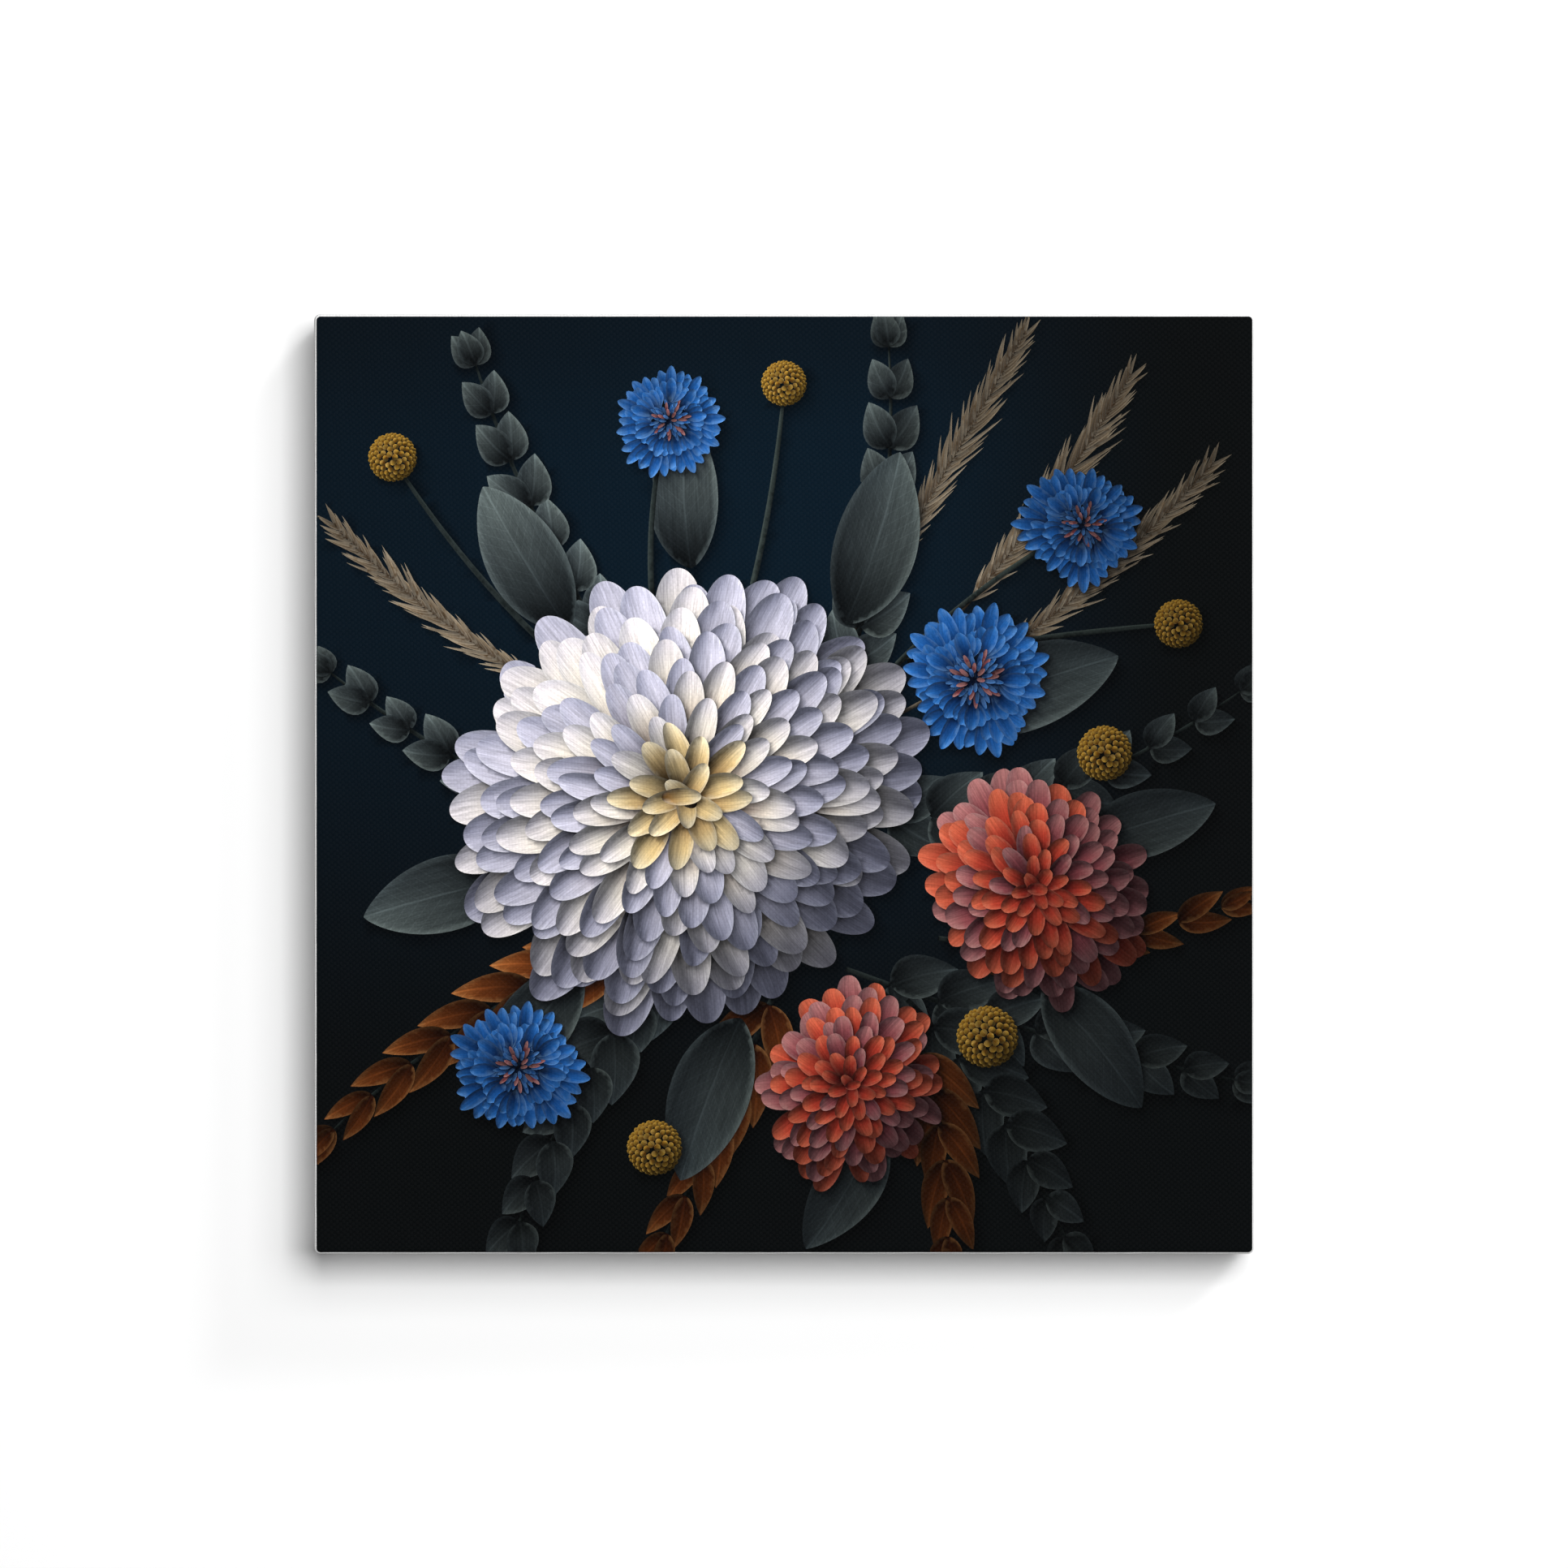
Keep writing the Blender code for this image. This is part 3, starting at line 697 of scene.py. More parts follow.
def lit_colour(number, x, z):
    """The inks' colour at places whose topmost blade is known, and where they are on that blade."""
    blade = {part: values[np.maximum(number, 0)] for part, values in every_blade.items()}
    printed = number >= 0
    along, beside = on_blade(blade, x, z)
    along = np.clip(along, 0, 1)
    across = across_blade(blade, along, beside)
    own = np.where(printed, level_at(blade, x, z), 0.0)
    hidden = shadow(own, x, z)
    rise_along = blade["arch"] * 4 * (1 - 2 * along) + blade["tilt"]
    rise_across = 2 * blade["cup"] * across
    right = rise_across * np.sin(blade["angle"]) - rise_along * np.cos(blade["angle"])
    up = -rise_along * np.sin(blade["angle"]) - rise_across * np.cos(blade["angle"])
    facing = np.clip((right * SUN[0] + up * SUN[1] + SUN[2]) / np.sqrt(right**2 + up**2 + 1), 0, 1)
    direct = facing * (1 - SHADOW_DEEP * hidden)
    sky = SKY_LIGHT * (1 - SKY_DEEP * closeness(own, x, z))
    spot = np.exp(-(((x - SPOT_AT[0]) / SPOT_WIDE[0]) ** 2) - ((z - SPOT_AT[1]) / SPOT_WIDE[1]) ** 2)
    light = (SUN_LIGHT * direct + sky) * blade["light"] * (SPOT_BEYOND + SPOT_LIGHT * spot)
    base, body, tip, rim = (ink_table[blade["ink"], i] for i in range(4))
    colour = base + (body - base) * smooth(0, BODY_FROM + BODY_VARIES * blade["seed"], along)[:, None]
    colour = colour + (tip - colour) * TIP_SHARE * smooth(*TIP_OVER, along)[:, None]
    colour = colour + (rim - colour) * RIM_SHARE * smooth(*RIM_OVER, np.abs(across))[:, None]
    cool = 1 + SHADE_TINT * (1 - np.clip(direct, 0, 1))[:, None]
    ground = glowing_ground(x, z) * (1 - GROUND_DEEP * hidden)[:, None]
    vein = np.stack((along * blade["length"], beside, blade["seed"] + 2 * blade["leafy"]), 1)
    return (
        np.where(printed[:, None], colour * cool * light[:, None], ground),
        np.where(printed[:, None], vein, (0.0, 0.0, -1.0)),
    )


arrangement()
every_blade = {part: np.array([blade[part] for blade in blades]) for part in blades[0]}
ink_table = np.array([[linear(code) for code in INKS[name]] for name in INK_NAMES])
heights = relief()


# ---- Canvas -----------------------------------------------------------------------------------------
# One sheet of primed cotton canvas, printed on the front a little past its edges, left white down the sides,
# wrapped round the stretcher, folded at the corners and stapled behind. Its inside is raw, unprimed cotton.

CLOTH_THICK = 0.0006
TURN_R = 0.0016  # where the front turns into the sides, and the sides into the flaps
ROUND_R = 0.0004  # the corners of the flat front
CORE = FLAT_HALF - ROUND_R
FLAP = 0.0255 - TURN_R  # the flat part of the cloth behind
SETTLED = 0.0215  # how far in its inner face lies flat on the wood
FRONT_Y, BACK_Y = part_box("canvas")[0].y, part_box("canvas")[1].y
MIDDLE = (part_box("canvas")[0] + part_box("canvas")[1]) / 2
INK_TURN = math.radians(36)  # how far round the front's edge the ink reaches
INK_DRIFT = math.radians(6)  # more of it at the right and the bottom, less at the left and the top

OUTLINE_STEP = 0.0011  # the size of the mesh along the edges of petals and leaves
OUTLINE_STEPS = (7, 140)  # the fewest and the most to a blade
JUST_INSIDE = 0.93  # where a blade's edge is tested for showing, as a share of its width
PETAL_STEP = 0.0013  # inside the flowers
GROUND_STEP = 0.0042  # and on the plain ground
ROW_STEP = 0.8696  # from one row of those points to the next, as a share of their step
SCATTER = 0.15  # how far each is moved at random
EDGE_STEP = 0.0030  # and round the sides
BUSY_CELL = 0.0005  # no other point comes this close to an outline
INSIDE_STEP = 0.0098
INSIDE_CELLS = 30
CORNER_STEPS = (0.0003, 0.0007, 0.0012, 0.0020)  # the mesh beside the corners, for the fold
CORNER_TURNS = 5
INKED_ROWS = 2  # the sheet's rows where the front turns, with ink on them
BARE_ROWS = 3  # and beyond it
SIDE_ROWS = 8
BACK_TURN_ROWS = 4
FLAP_ROWS = 20

FOLD = 0.00045  # how proud the folded cloth stands
FOLD_STARTS = (0.0001, 0.0009)  # over how far it rises beside the corner
FOLD_FADES = (0.004, 0.030)
FOLD_DEEP = (0.001, 0.016)  # over how far it rises from the front backwards
CREASE = 0.04  # how narrow the fold's own edge is, as an angle round the corner
CUT_WAVE = 0.00025  # how far the cut edge wanders
CUT_WAVES = 3  # how many times closer its waves are than the cloth's own
CUT_OVER = (0.9, 1.0)  # over the last of the flap, as a share of it
STAPLE_PITCH = 0.036
HALF_CROWN = 0.005
PRESSED = 0.00022  # how far the cloth sinks under a crown
PRESSED_STEEP = 48.0  # how fast it rises away from there, per metre
PUCKER = 0.00048  # how far it stands up beside one
PUCKER_OFF = 0.0036
PUCKER_WIDE = 0.0018
PUCKER_ENDS = (0.9 * HALF_CROWN, 1.5 * HALF_CROWN)  # over how far from the crown's middle it ends
LOOSE = 0.00080  # how far the cut edge lifts between two staples
LOOSE_OVER = (0.010, 0.0235)  # over how much of the flap, from the side inwards
UNEVEN = 0.00015
UNHELD = 0.002  # further than the cloth rises anywhere
FLAP_FREE = (0.0, 0.004)  # over how far from the back edge the flap starts to lift
BUMPER_HOLDS = (0.004, 0.011)  # over how far from a bumper's middle the cloth comes free again


def blade_edges():
    """The parts of the blades' edges that show, as pairs of places."""
    starts, ends, owners, nudged = [], [], [], []
    for number, blade in enumerate(blades):
        count = int(np.clip(blade["length"] / OUTLINE_STEP, *OUTLINE_STEPS))
        along = (1 - np.cos(np.linspace(0, math.pi, count + 1))) / 2
        ahead = np.array((math.cos(blade["angle"]), math.sin(blade["angle"])))
        aside = np.array((-ahead[1], ahead[0]))
        bow = (blade["bend"] * blade["length"] * along**2)[:, None] * aside
        spine = along[:, None] * blade["length"] * ahead + bow
        wide = half_width(blade, along)[:, None] * aside
        loop = np.concatenate((spine + wide, (spine - wide)[::-1])) + (blade["x"], blade["z"])
        wide = JUST_INSIDE * wide
        inner = np.concatenate((spine + wide, (spine - wide)[::-1])) + (blade["x"], blade["z"])
        starts.append(loop)
        ends.append(np.roll(loop, -1, 0))
        nudged.append((inner + np.roll(inner, -1, 0)) / 2)
        owners.append(np.full(len(loop), number))
    starts, ends, nudged = np.concatenate(starts), np.concatenate(ends), np.concatenate(nudged)
    seen = topmost(nudged[:, 0], nudged[:, 1]) == np.concatenate(owners)
    seen &= np.abs(nudged).max(1) < FLAT_HALF + INK_MARGIN
    seen &= np.hypot(*(ends - starts).T) > 2 * MERGE
    return starts[seen], ends[seen]


def rim():
    """Places round the flat front's edge, closer together beside the rounded corners."""
    run = np.linspace(-CORE, CORE, int(2 * CORE / EDGE_STEP) + 1)
    near = np.array(CORNER_STEPS)
    run = np.unique(np.concatenate((run, near - CORE, CORE - near)).round(6))[:-1]
    arc = np.linspace(math.pi / 2, 0, CORNER_TURNS + 1)[:-1]
    arc = np.insert(arc, 1, math.pi / 2 - CREASE)
    side = np.stack((run, np.full(len(run), FLAT_HALF)), 1)
    corner = np.stack((CORE + ROUND_R * np.cos(arc), CORE + ROUND_R * np.sin(arc)), 1)
    quarter = np.concatenate((side, corner))
    turned = [quarter, quarter[:, ::-1] * (1, -1), -quarter, quarter[:, ::-1] * (-1, 1)]
    return np.concatenate(turned)


def outward(places):
    """The way out from the front's middle at places on its rim."""
    away = places - np.clip(places, -CORE, CORE)
    return away / np.hypot(*away.T)[:, None]


def scattered(taken):
    """Mesh points inside the flowers and, further apart, on the ground, clear of the points taken."""
    margin = 4
    cells = int(2 * FLAT_HALF / BUSY_CELL) + 2 * margin
    busy = np.zeros((cells, cells), bool)
    at = ((taken + FLAT_HALF) / BUSY_CELL).astype(int) + margin
    at = at[(at > 0).all(1) & (at < cells - 1).all(1)]
    for right in (-1, 0, 1):
        for up in (-1, 0, 1):
            busy[at[:, 0] + right, at[:, 1] + up] = True
    found = []
    for step, on_flowers in ((PETAL_STEP, True), (GROUND_STEP, False)):
        count = int(2 * FLAT_HALF / step)
        row, column = np.indices((count, int(count / ROW_STEP))).reshape(2, -1)
        grid = np.stack((row + 0.5, column + 0.5), 1) * (step, step * ROW_STEP)
        grid[:, 0] += step / 2 * (column % 2) - step / 4
        grid += draw.uniform(-SCATTER, SCATTER, grid.shape) * step - FLAT_HALF
        grid = grid[np.abs(grid).max(1) < FLAT_HALF - 0.4 * step]
        at = ((grid + FLAT_HALF) / BUSY_CELL).astype(int) + margin
        grid = grid[~busy[at[:, 0], at[:, 1]]]
        found.append(grid[(height_at(grid[:, 0], grid[:, 1]) > 0) == on_flowers])
    return np.concatenate(found)


def triangulated(points, edges):
    """Triangles over points that keep to the edges given."""
    out = delaunay_2d_cdt([Vector(p) for p in points], edges, [], 0, 1e-6, False)
    return np.array(out[0]), np.array(out[2])


def closed(count):
    """The edges of a loop of that many points."""
    return [(i, (i + 1) % count) for i in range(count)]


def front_sheet():
    """The flat front's points and triangles, which keep every edge of a petal, leaf or stem that shows."""
    border = rim()
    starts, ends = blade_edges()
    fixed = np.concatenate((border, starts, ends))
    edges = closed(len(border))
    edges += [(len(border) + i, len(border) + len(starts) + i) for i in range(len(starts))]
    places, triangles = triangulated(np.concatenate((fixed, scattered(fixed))), edges)
    middles = np.abs(places[triangles].mean(1))
    within = np.hypot(*(middles - np.clip(middles, 0, CORE)).T) < ROUND_R
    used, triangles = np.unique(triangles[within], return_inverse=True)
    return places[used], triangles.reshape(-1, 3)


def loop_of(triangles):
    """The outer edge of a flat mesh, as its points in order."""
    pairs = np.concatenate((triangles[:, (0, 1)], triangles[:, (1, 2)], triangles[:, (2, 0)]))
    known = {tuple(pair) for pair in pairs.tolist()}
    following = {start: end for start, end in known if (end, start) not in known}
    loop = [min(following)]
    while following[loop[-1]] != loop[0]:
        loop.append(following[loop[-1]])
    return np.array(loop)


def unevenness(cloth_x, cloth_z):
    """The cloth's slow, slight waves, between -1 and 1."""
    return (
        0.5 * np.sin(63 * cloth_x + 2.1 * np.sin(41 * cloth_z))
        + 0.3 * np.sin(151 * cloth_z + 97 * cloth_x + 1.3)
        + 0.2 * np.sin(331 * cloth_x - 269 * cloth_z + 0.4)
    )


def staple_crowns():
    """Each staple's middle, from the picture's, and the way its crown runs, across and up."""
    found = []
    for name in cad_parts:
        if name.startswith("staple_"):
            low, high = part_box(name)
            places = np.array([point.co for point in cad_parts[name].data.vertices])
            flat = places[places[:, 1] > high.y - 1e-4][:, (0, 2)]
            flat = flat - flat.mean(0)
            ways = np.linalg.eigh(flat.T @ flat)[1]
            found.append(((low.x + high.x) / 2 - MIDDLE.x, (low.z + high.z) / 2 - MIDDLE.z, *ways[:, 1]))
    return np.array(found)


def from_crowns(x, z):
    """How far places are along and beside each staple's crown, from its middle."""
    for middle_x, middle_z, way_x, way_z in crowns:
        along = (x - middle_x) * way_x + (z - middle_z) * way_z
        beside = (z - middle_z) * way_x - (x - middle_x) * way_z
        yield np.abs(along), np.abs(beside)


def flap_lift(x, z, gone):
    """How far the flap stands off the bars: puckered beside staples, loose at its edge, flat at a bumper."""
    tangent = np.where(np.abs(z) > np.abs(x), x, z)
    loose = smooth(*LOOSE_OVER, gone) * np.sin(math.pi * tangent / STAPLE_PITCH) ** 2
    lift = LOOSE * loose + UNEVEN * unevenness(x, z)
    for along, beside in from_crowns(x, z):
        held = 1 - smooth(*PUCKER_ENDS, along)
        lift += PUCKER * held * np.exp(-(((beside - PUCKER_OFF) / PUCKER_WIDE) ** 2))
    for bumper in ("bumper_left", "bumper_right"):
        low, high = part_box(bumper)
        far = np.hypot(x - (low.x + high.x) / 2 + MIDDLE.x, z - (low.z + high.z) / 2 + MIDDLE.z)
        lift *= smooth(*BUMPER_HOLDS, far)
    return lift * smooth(*FLAP_FREE, gone)


def most_lift(x, z):
    """The most that the cloth can stand proud where the staples hold it down."""
    most = np.full(len(x), FOLD + UNHELD)
    for along, beside in from_crowns(x, z):
        away = np.hypot(np.maximum(along - HALF_CROWN, 0), beside)
        most = np.minimum(most, -PRESSED + PRESSED_STEEP * away**2)
    return most


def fold_lift(places, away, shrink, deep):
    """The folded cloth's edge at each corner of the top and bottom, sharp there and fading inwards."""
    beside = (CORE - np.abs(places[:, 0])) * shrink
    lies = FOLD * smooth(*FOLD_STARTS, beside) * (1 - smooth(*FOLD_FADES, beside))
    return np.where(np.abs(away[:, 1]) > 0.99, lies, 0) * smooth(*FOLD_DEEP, deep)


def wrap_rows(away):
    """The sheet's rows from the front's rim to the cut edge, and those inside, back again to the front.

    A row is: how far beyond the rim, how deep, the flap's shrink towards the middle, the distance come along
    the cloth, and how its lift parts into outward and backward."""
    near, far = FRONT_Y + TURN_R, BACK_Y - TURN_R
    quarter = math.pi / 2
    inked = INK_TURN + INK_DRIFT * (away[:, 0] - away[:, 1])
    turns = [inked * (i + 1) / INKED_ROWS for i in range(INKED_ROWS)]
    turns += [inked + (quarter - inked) * (i + 1) / BARE_ROWS for i in range(BARE_ROWS)]
    outer = []
    for angle in turns:
        outer.append((TURN_R * np.sin(angle), near - TURN_R * np.cos(angle), 1.0, TURN_R * angle, 0.0, 0.0))
    gone = TURN_R * quarter
    for deep in np.linspace(near, far, SIDE_ROWS + 1)[1:]:
        outer.append((TURN_R, deep, 1.0, gone + deep - near, 1.0, 0.0))
    gone += far - near
    for angle in np.linspace(0, quarter, BACK_TURN_ROWS + 1)[1:]:
        out, back = math.cos(angle), math.sin(angle)
        outer.append((TURN_R * out, far + TURN_R * back, 1.0, gone + TURN_R * angle, out, back))
    gone += TURN_R * quarter
    for inward in np.linspace(0, FLAP, FLAP_ROWS + 1)[1:]:
        outer.append((0.0, BACK_Y, 1 - inward / FLAT_HALF, gone + inward, 0.0, 1.0))
    inside = []
    for inward, share in ((FLAP, 1.0), (SETTLED, 0.0), (0.0, 0.0)):
        inside.append((0.0, BACK_Y - CLOTH_THICK, 1 - inward / FLAT_HALF, gone, 0.0, share))
    inner_r = TURN_R - CLOTH_THICK
    for angle in (quarter / 2, 0.0):
        inside.append((inner_r * math.cos(angle), far + inner_r * math.sin(angle), 1.0, gone, 0.0, 0.0))
    for angle in (quarter, quarter / 2, 0.0):
        inside.append((inner_r * math.sin(angle), near - inner_r * math.cos(angle), 1.0, gone, 0.0, 0.0))
    return outer, inside


def laid_row(places, away, row):
    """One row's points, where they are on the cloth, and how its threads lie, from the picture's middle.

    Round a corner the threads of the left or right side run on, up to the fold."""
    everywhere = (np.broadcast_to(value, len(places)) for value in row)
    out, deep, shrink, gone, outward_share, back_share = everywhere
    inward = (1 - shrink) * FLAT_HALF
    flat = places * shrink[:, None] + away * out[:, None]
    wave = CUT_WAVE * unevenness(*(CUT_WAVES * places.T)) * smooth(*CUT_OVER, inward / FLAP)
    flat = flat - away * wave[:, None]
    lift = fold_lift(places, away, shrink, deep - FRONT_Y) + flap_lift(flat[:, 0], flat[:, 1], inward)
    lift = np.minimum(lift, most_lift(flat[:, 0], flat[:, 1]))
    lifted = flat + away * (lift * outward_share)[:, None]
    points = np.stack((lifted[:, 0], deep + lift * back_share, lifted[:, 1]), 1)
    cloth = places * shrink[:, None] + away * (gone + inward)[:, None]
    turn = np.arctan2(*np.abs(away.T[::-1]))
    passed = CORE * shrink + (ROUND_R * shrink + out) * turn
    running_on = np.stack((FLAT_HALF + gone, passed), 1) * np.sign(places)
    cornered = (turn > 1e-4) & (turn < math.pi / 2 - 1e-4)
    return points, cloth, np.where(cornered[:, None], running_on, cloth)


crowns = staple_crowns()
flat_points, flat_triangles = front_sheet()
rim_loop = loop_of(flat_triangles)
rim_places, rim_away = flat_points[rim_loop], outward(flat_points[rim_loop])
outer_rows, inside_rows = wrap_rows(rim_away)
laid = [laid_row(rim_places, rim_away, row) for row in outer_rows + inside_rows]
columns = len(rim_loop)
loops = [rim_loop] + [len(flat_points) + i * columns + np.arange(columns) for i in range(len(laid))]
quads = []
for nearer, further in zip(loops[:-1], loops[1:]):
    quads.append(np.stack((nearer, further, np.roll(further, -1), np.roll(nearer, -1)), 1))
quads = np.concatenate(quads)
inside_grid = np.indices((INSIDE_CELLS, INSIDE_CELLS)).reshape(2, -1).T - (INSIDE_CELLS - 1) / 2
inside_grid = np.concatenate((rim_places, inside_grid * INSIDE_STEP))
inside_points, inside_triangles = triangulated(inside_grid, closed(columns))
inside_points = inside_points[columns:]
inside_triangles = loops[-1][0] + inside_triangles[:, ::-1]

front_face = np.insert(flat_points, 1, FRONT_Y, 1)
inside_face = np.insert(inside_points, 1, FRONT_Y + CLOTH_THICK, 1)
points = np.concatenate((front_face, *(row[0] for row in laid), inside_face)) + (MIDDLE.x, 0.0, MIDDLE.z)
cloth_places = np.concatenate((flat_points, *(row[1] for row in laid), inside_points))
thread_places = np.concatenate((flat_points, *(row[2] for row in laid), inside_points))
faces = flat_triangles.tolist() + quads.tolist() + inside_triangles.tolist()
canvas_mesh = bpy.data.meshes.new("canvas_print")
canvas_mesh.from_pydata(points.tolist(), [], faces)

inked_quads = quads[: INKED_ROWS * columns]
printed_count = len(flat_triangles) + len(inked_quads)
primed_count = (len(outer_rows) - INKED_ROWS) * columns
raw_count = len(faces) - printed_count - primed_count
materials = np.repeat((0, 1, 2), (printed_count, primed_count, raw_count))
canvas_mesh.polygons.foreach_set("material_index", materials)

corner_points = np.concatenate((flat_triangles.ravel(), quads.ravel(), inside_triangles.ravel()))
corner_cloth = cloth_places[corner_points]
face_middles = np.concatenate((cloth_places[flat_triangles].mean(1), cloth_places[inked_quads].mean(1)))
face_corners = np.repeat((3, 4), (len(flat_triangles), len(inked_quads)))
owners = np.repeat(topmost(face_middles[:, 0], face_middles[:, 1]), face_corners)
colours, veins = lit_colour(owners, corner_cloth[: len(owners), 0], corner_cloth[: len(owners), 1])
for name, values in (("print", colours), ("vein", veins)):
    corners = np.zeros((len(corner_points), 3))
    corners[: len(values)] = values
    canvas_mesh.attributes.new(name, "FLOAT_VECTOR", "CORNER").data.foreach_set("vector", corners.ravel())
canvas_mesh.uv_layers.new(name="cloth").data.foreach_set("uv", thread_places[corner_points].ravel())

BAKE_EDGE = 0.003  # the baked picture's square, as shares of its side: its margin
BAKE_PRINT = 0.8  # the print's own square, and the length of the strips beside it and above it
BAKE_PRINT_SPAN = FLAT_HALF + 0.0012  # what half of that square holds
BAKE_SIDE_SPAN = (0.306, 0.062)  # what a side's strip holds, along and across
BAKE_SIDE = 0.812  # where the first side's strip starts
BAKE_SIDE_WIDE = 0.088
BAKE_SIDE_STEP = 0.094  # from there to the opposite side's
BAKE_TURN_IN = 0.8045  # where the hidden rows' strip starts
BAKE_TURN_IN_WIDE = 0.006
BAKE_INSIDE = 0.9045  # the middle of the inside's square
BAKE_INSIDE_HALF = 0.0915


def laid_out():
    """The canvas's faces side by side in one square: the print, the sides with their flaps, the inside."""
    flat = BAKE_EDGE + BAKE_PRINT / 2 * (corner_cloth / BAKE_PRINT_SPAN + 1)
    ways = np.tile(np.repeat(rim_away + np.roll(rim_away, -1, 0), 4, 0), (len(laid), 1))
    first = 3 * len(flat_triangles)
    last = first + 4 * len(quads)
    cloth = corner_cloth[first:last]
    upright = np.abs(ways[:, 0]) > np.abs(ways[:, 1])
    beyond = np.where(upright, np.abs(cloth[:, 0]), np.abs(cloth[:, 1])) - FLAT_HALF
    along = np.where(upright, cloth[:, 1], cloth[:, 0]) / BAKE_SIDE_SPAN[0] + 0.5
    along = BAKE_EDGE + BAKE_PRINT * along
    opposite = np.where(upright, ways[:, 0], ways[:, 1]) < 0
    across = BAKE_SIDE + BAKE_SIDE_WIDE * beyond / BAKE_SIDE_SPAN[1] + BAKE_SIDE_STEP * opposite
    sides = np.where(upright[:, None], np.stack((across, along), 1), np.stack((along, across), 1))
    around = np.tile(np.repeat(np.arange(columns) / columns, 4), len(laid))
    row_of = np.repeat(np.arange(len(laid)) / len(laid), 4 * columns)
    turned_in = np.stack((BAKE_TURN_IN + BAKE_TURN_IN_WIDE * row_of, BAKE_EDGE + BAKE_PRINT * around), 1)
    hidden = 4 * len(outer_rows) * columns
    sides[hidden:] = turned_in[hidden:]
    sides[: 4 * len(inked_quads)] = flat[first : first + 4 * len(inked_quads)]
    flat[first:last] = sides
    flat[last:] = BAKE_INSIDE + BAKE_INSIDE_HALF * corner_cloth[last:] / FLAT_HALF
    return flat


canvas_mesh.uv_layers.new(name="OFBake").data.foreach_set("uv", laid_out().ravel())

THREAD_SPACING = {"Across": 0.00104, "Down": 0.00089, "Lean": 0.06}
THREAD_SWAY = 0.0002  # how far a thread strays from its line
RAW_SWAY = 0.0004
PRIMER = (0.91, 0.912, 0.91)
PRINTED_DEPTH = 0.00009  # the weave's relief under the inks
PRIMED_DEPTH = 0.00016
RAW_DEPTH = 0.00028


def plain_weave():
    """Threads over and under each other: their height, the gaps between them, and each thread's own tone."""
    tree, entry, exit_node = group(
        "plain_weave",
        dict(Vector="Vector", Across="Float", Down="Float", Sway="Float", Lean="Float"),
        dict(Height="Float", Gap="Float", Tone="Float", Warp="Float"),
    )
    sway = (entry["Vector"].noise(90.0)["Color"] - (0.5, 0.5, 0.5)) * entry["Sway"]
    x, y = (entry["Vector"] + sway).parts()[:2]
    over = (y * entry["Lean"] + x) / entry["Across"]
    under = (x * (entry["Lean"] * -0.4) + y) / entry["Down"]
    wave_over = (over * math.pi).worked("SINE")
    wave_under = (under * math.pi).worked("SINE")
    warp_rise = wave_under * wave_over.worked("SIGN")
    weft_rise = wave_over * (wave_under * -1.0).worked("SIGN")
    heights = []
    for wave, rise in ((wave_over, warp_rise), (wave_under, weft_rise)):
        rounded = wave.worked("ABSOLUTE").ranged(0.16, 1.0).worked("SQRT")
        heights.append(rise * 0.45 + (rounded * 0.75 - 0.2))
    warp, weft = heights
    warp_up = (warp - weft).ranged(-0.06, 0.06)
    tones = []
    for thread in (over.worked("FLOOR"), under.worked("FLOOR") + 500.5):
        tones.append(add(tree, "ShaderNodeTexWhiteNoise", {"W": thread}, noise_dimensions="1D"))
    tone = warp_up.blended(tones[1], tones[0])
    height = warp.worked("MAXIMUM", weft) * tone.ranged(0.0, 1.0, 0.85, 1.05)
    gap = height.ranged(0.10, 0.52, 1.0, 0.0, smooth=True)
    feed(exit_node, Height=height, Gap=gap, Tone=tone, Warp=warp_up)
    return tree


PLAIN_WEAVE = plain_weave()


def woven(tree, sway=THREAD_SWAY):
    """A place on the cloth, and the threads laid along it."""
    cloth = add(tree, "ShaderNodeUVMap", uv_map="cloth")
    sockets = {"Vector": cloth, "Sway": sway, **THREAD_SPACING}
    return cloth, add(tree, "ShaderNodeGroup", sockets, node_tree=PLAIN_WEAVE)


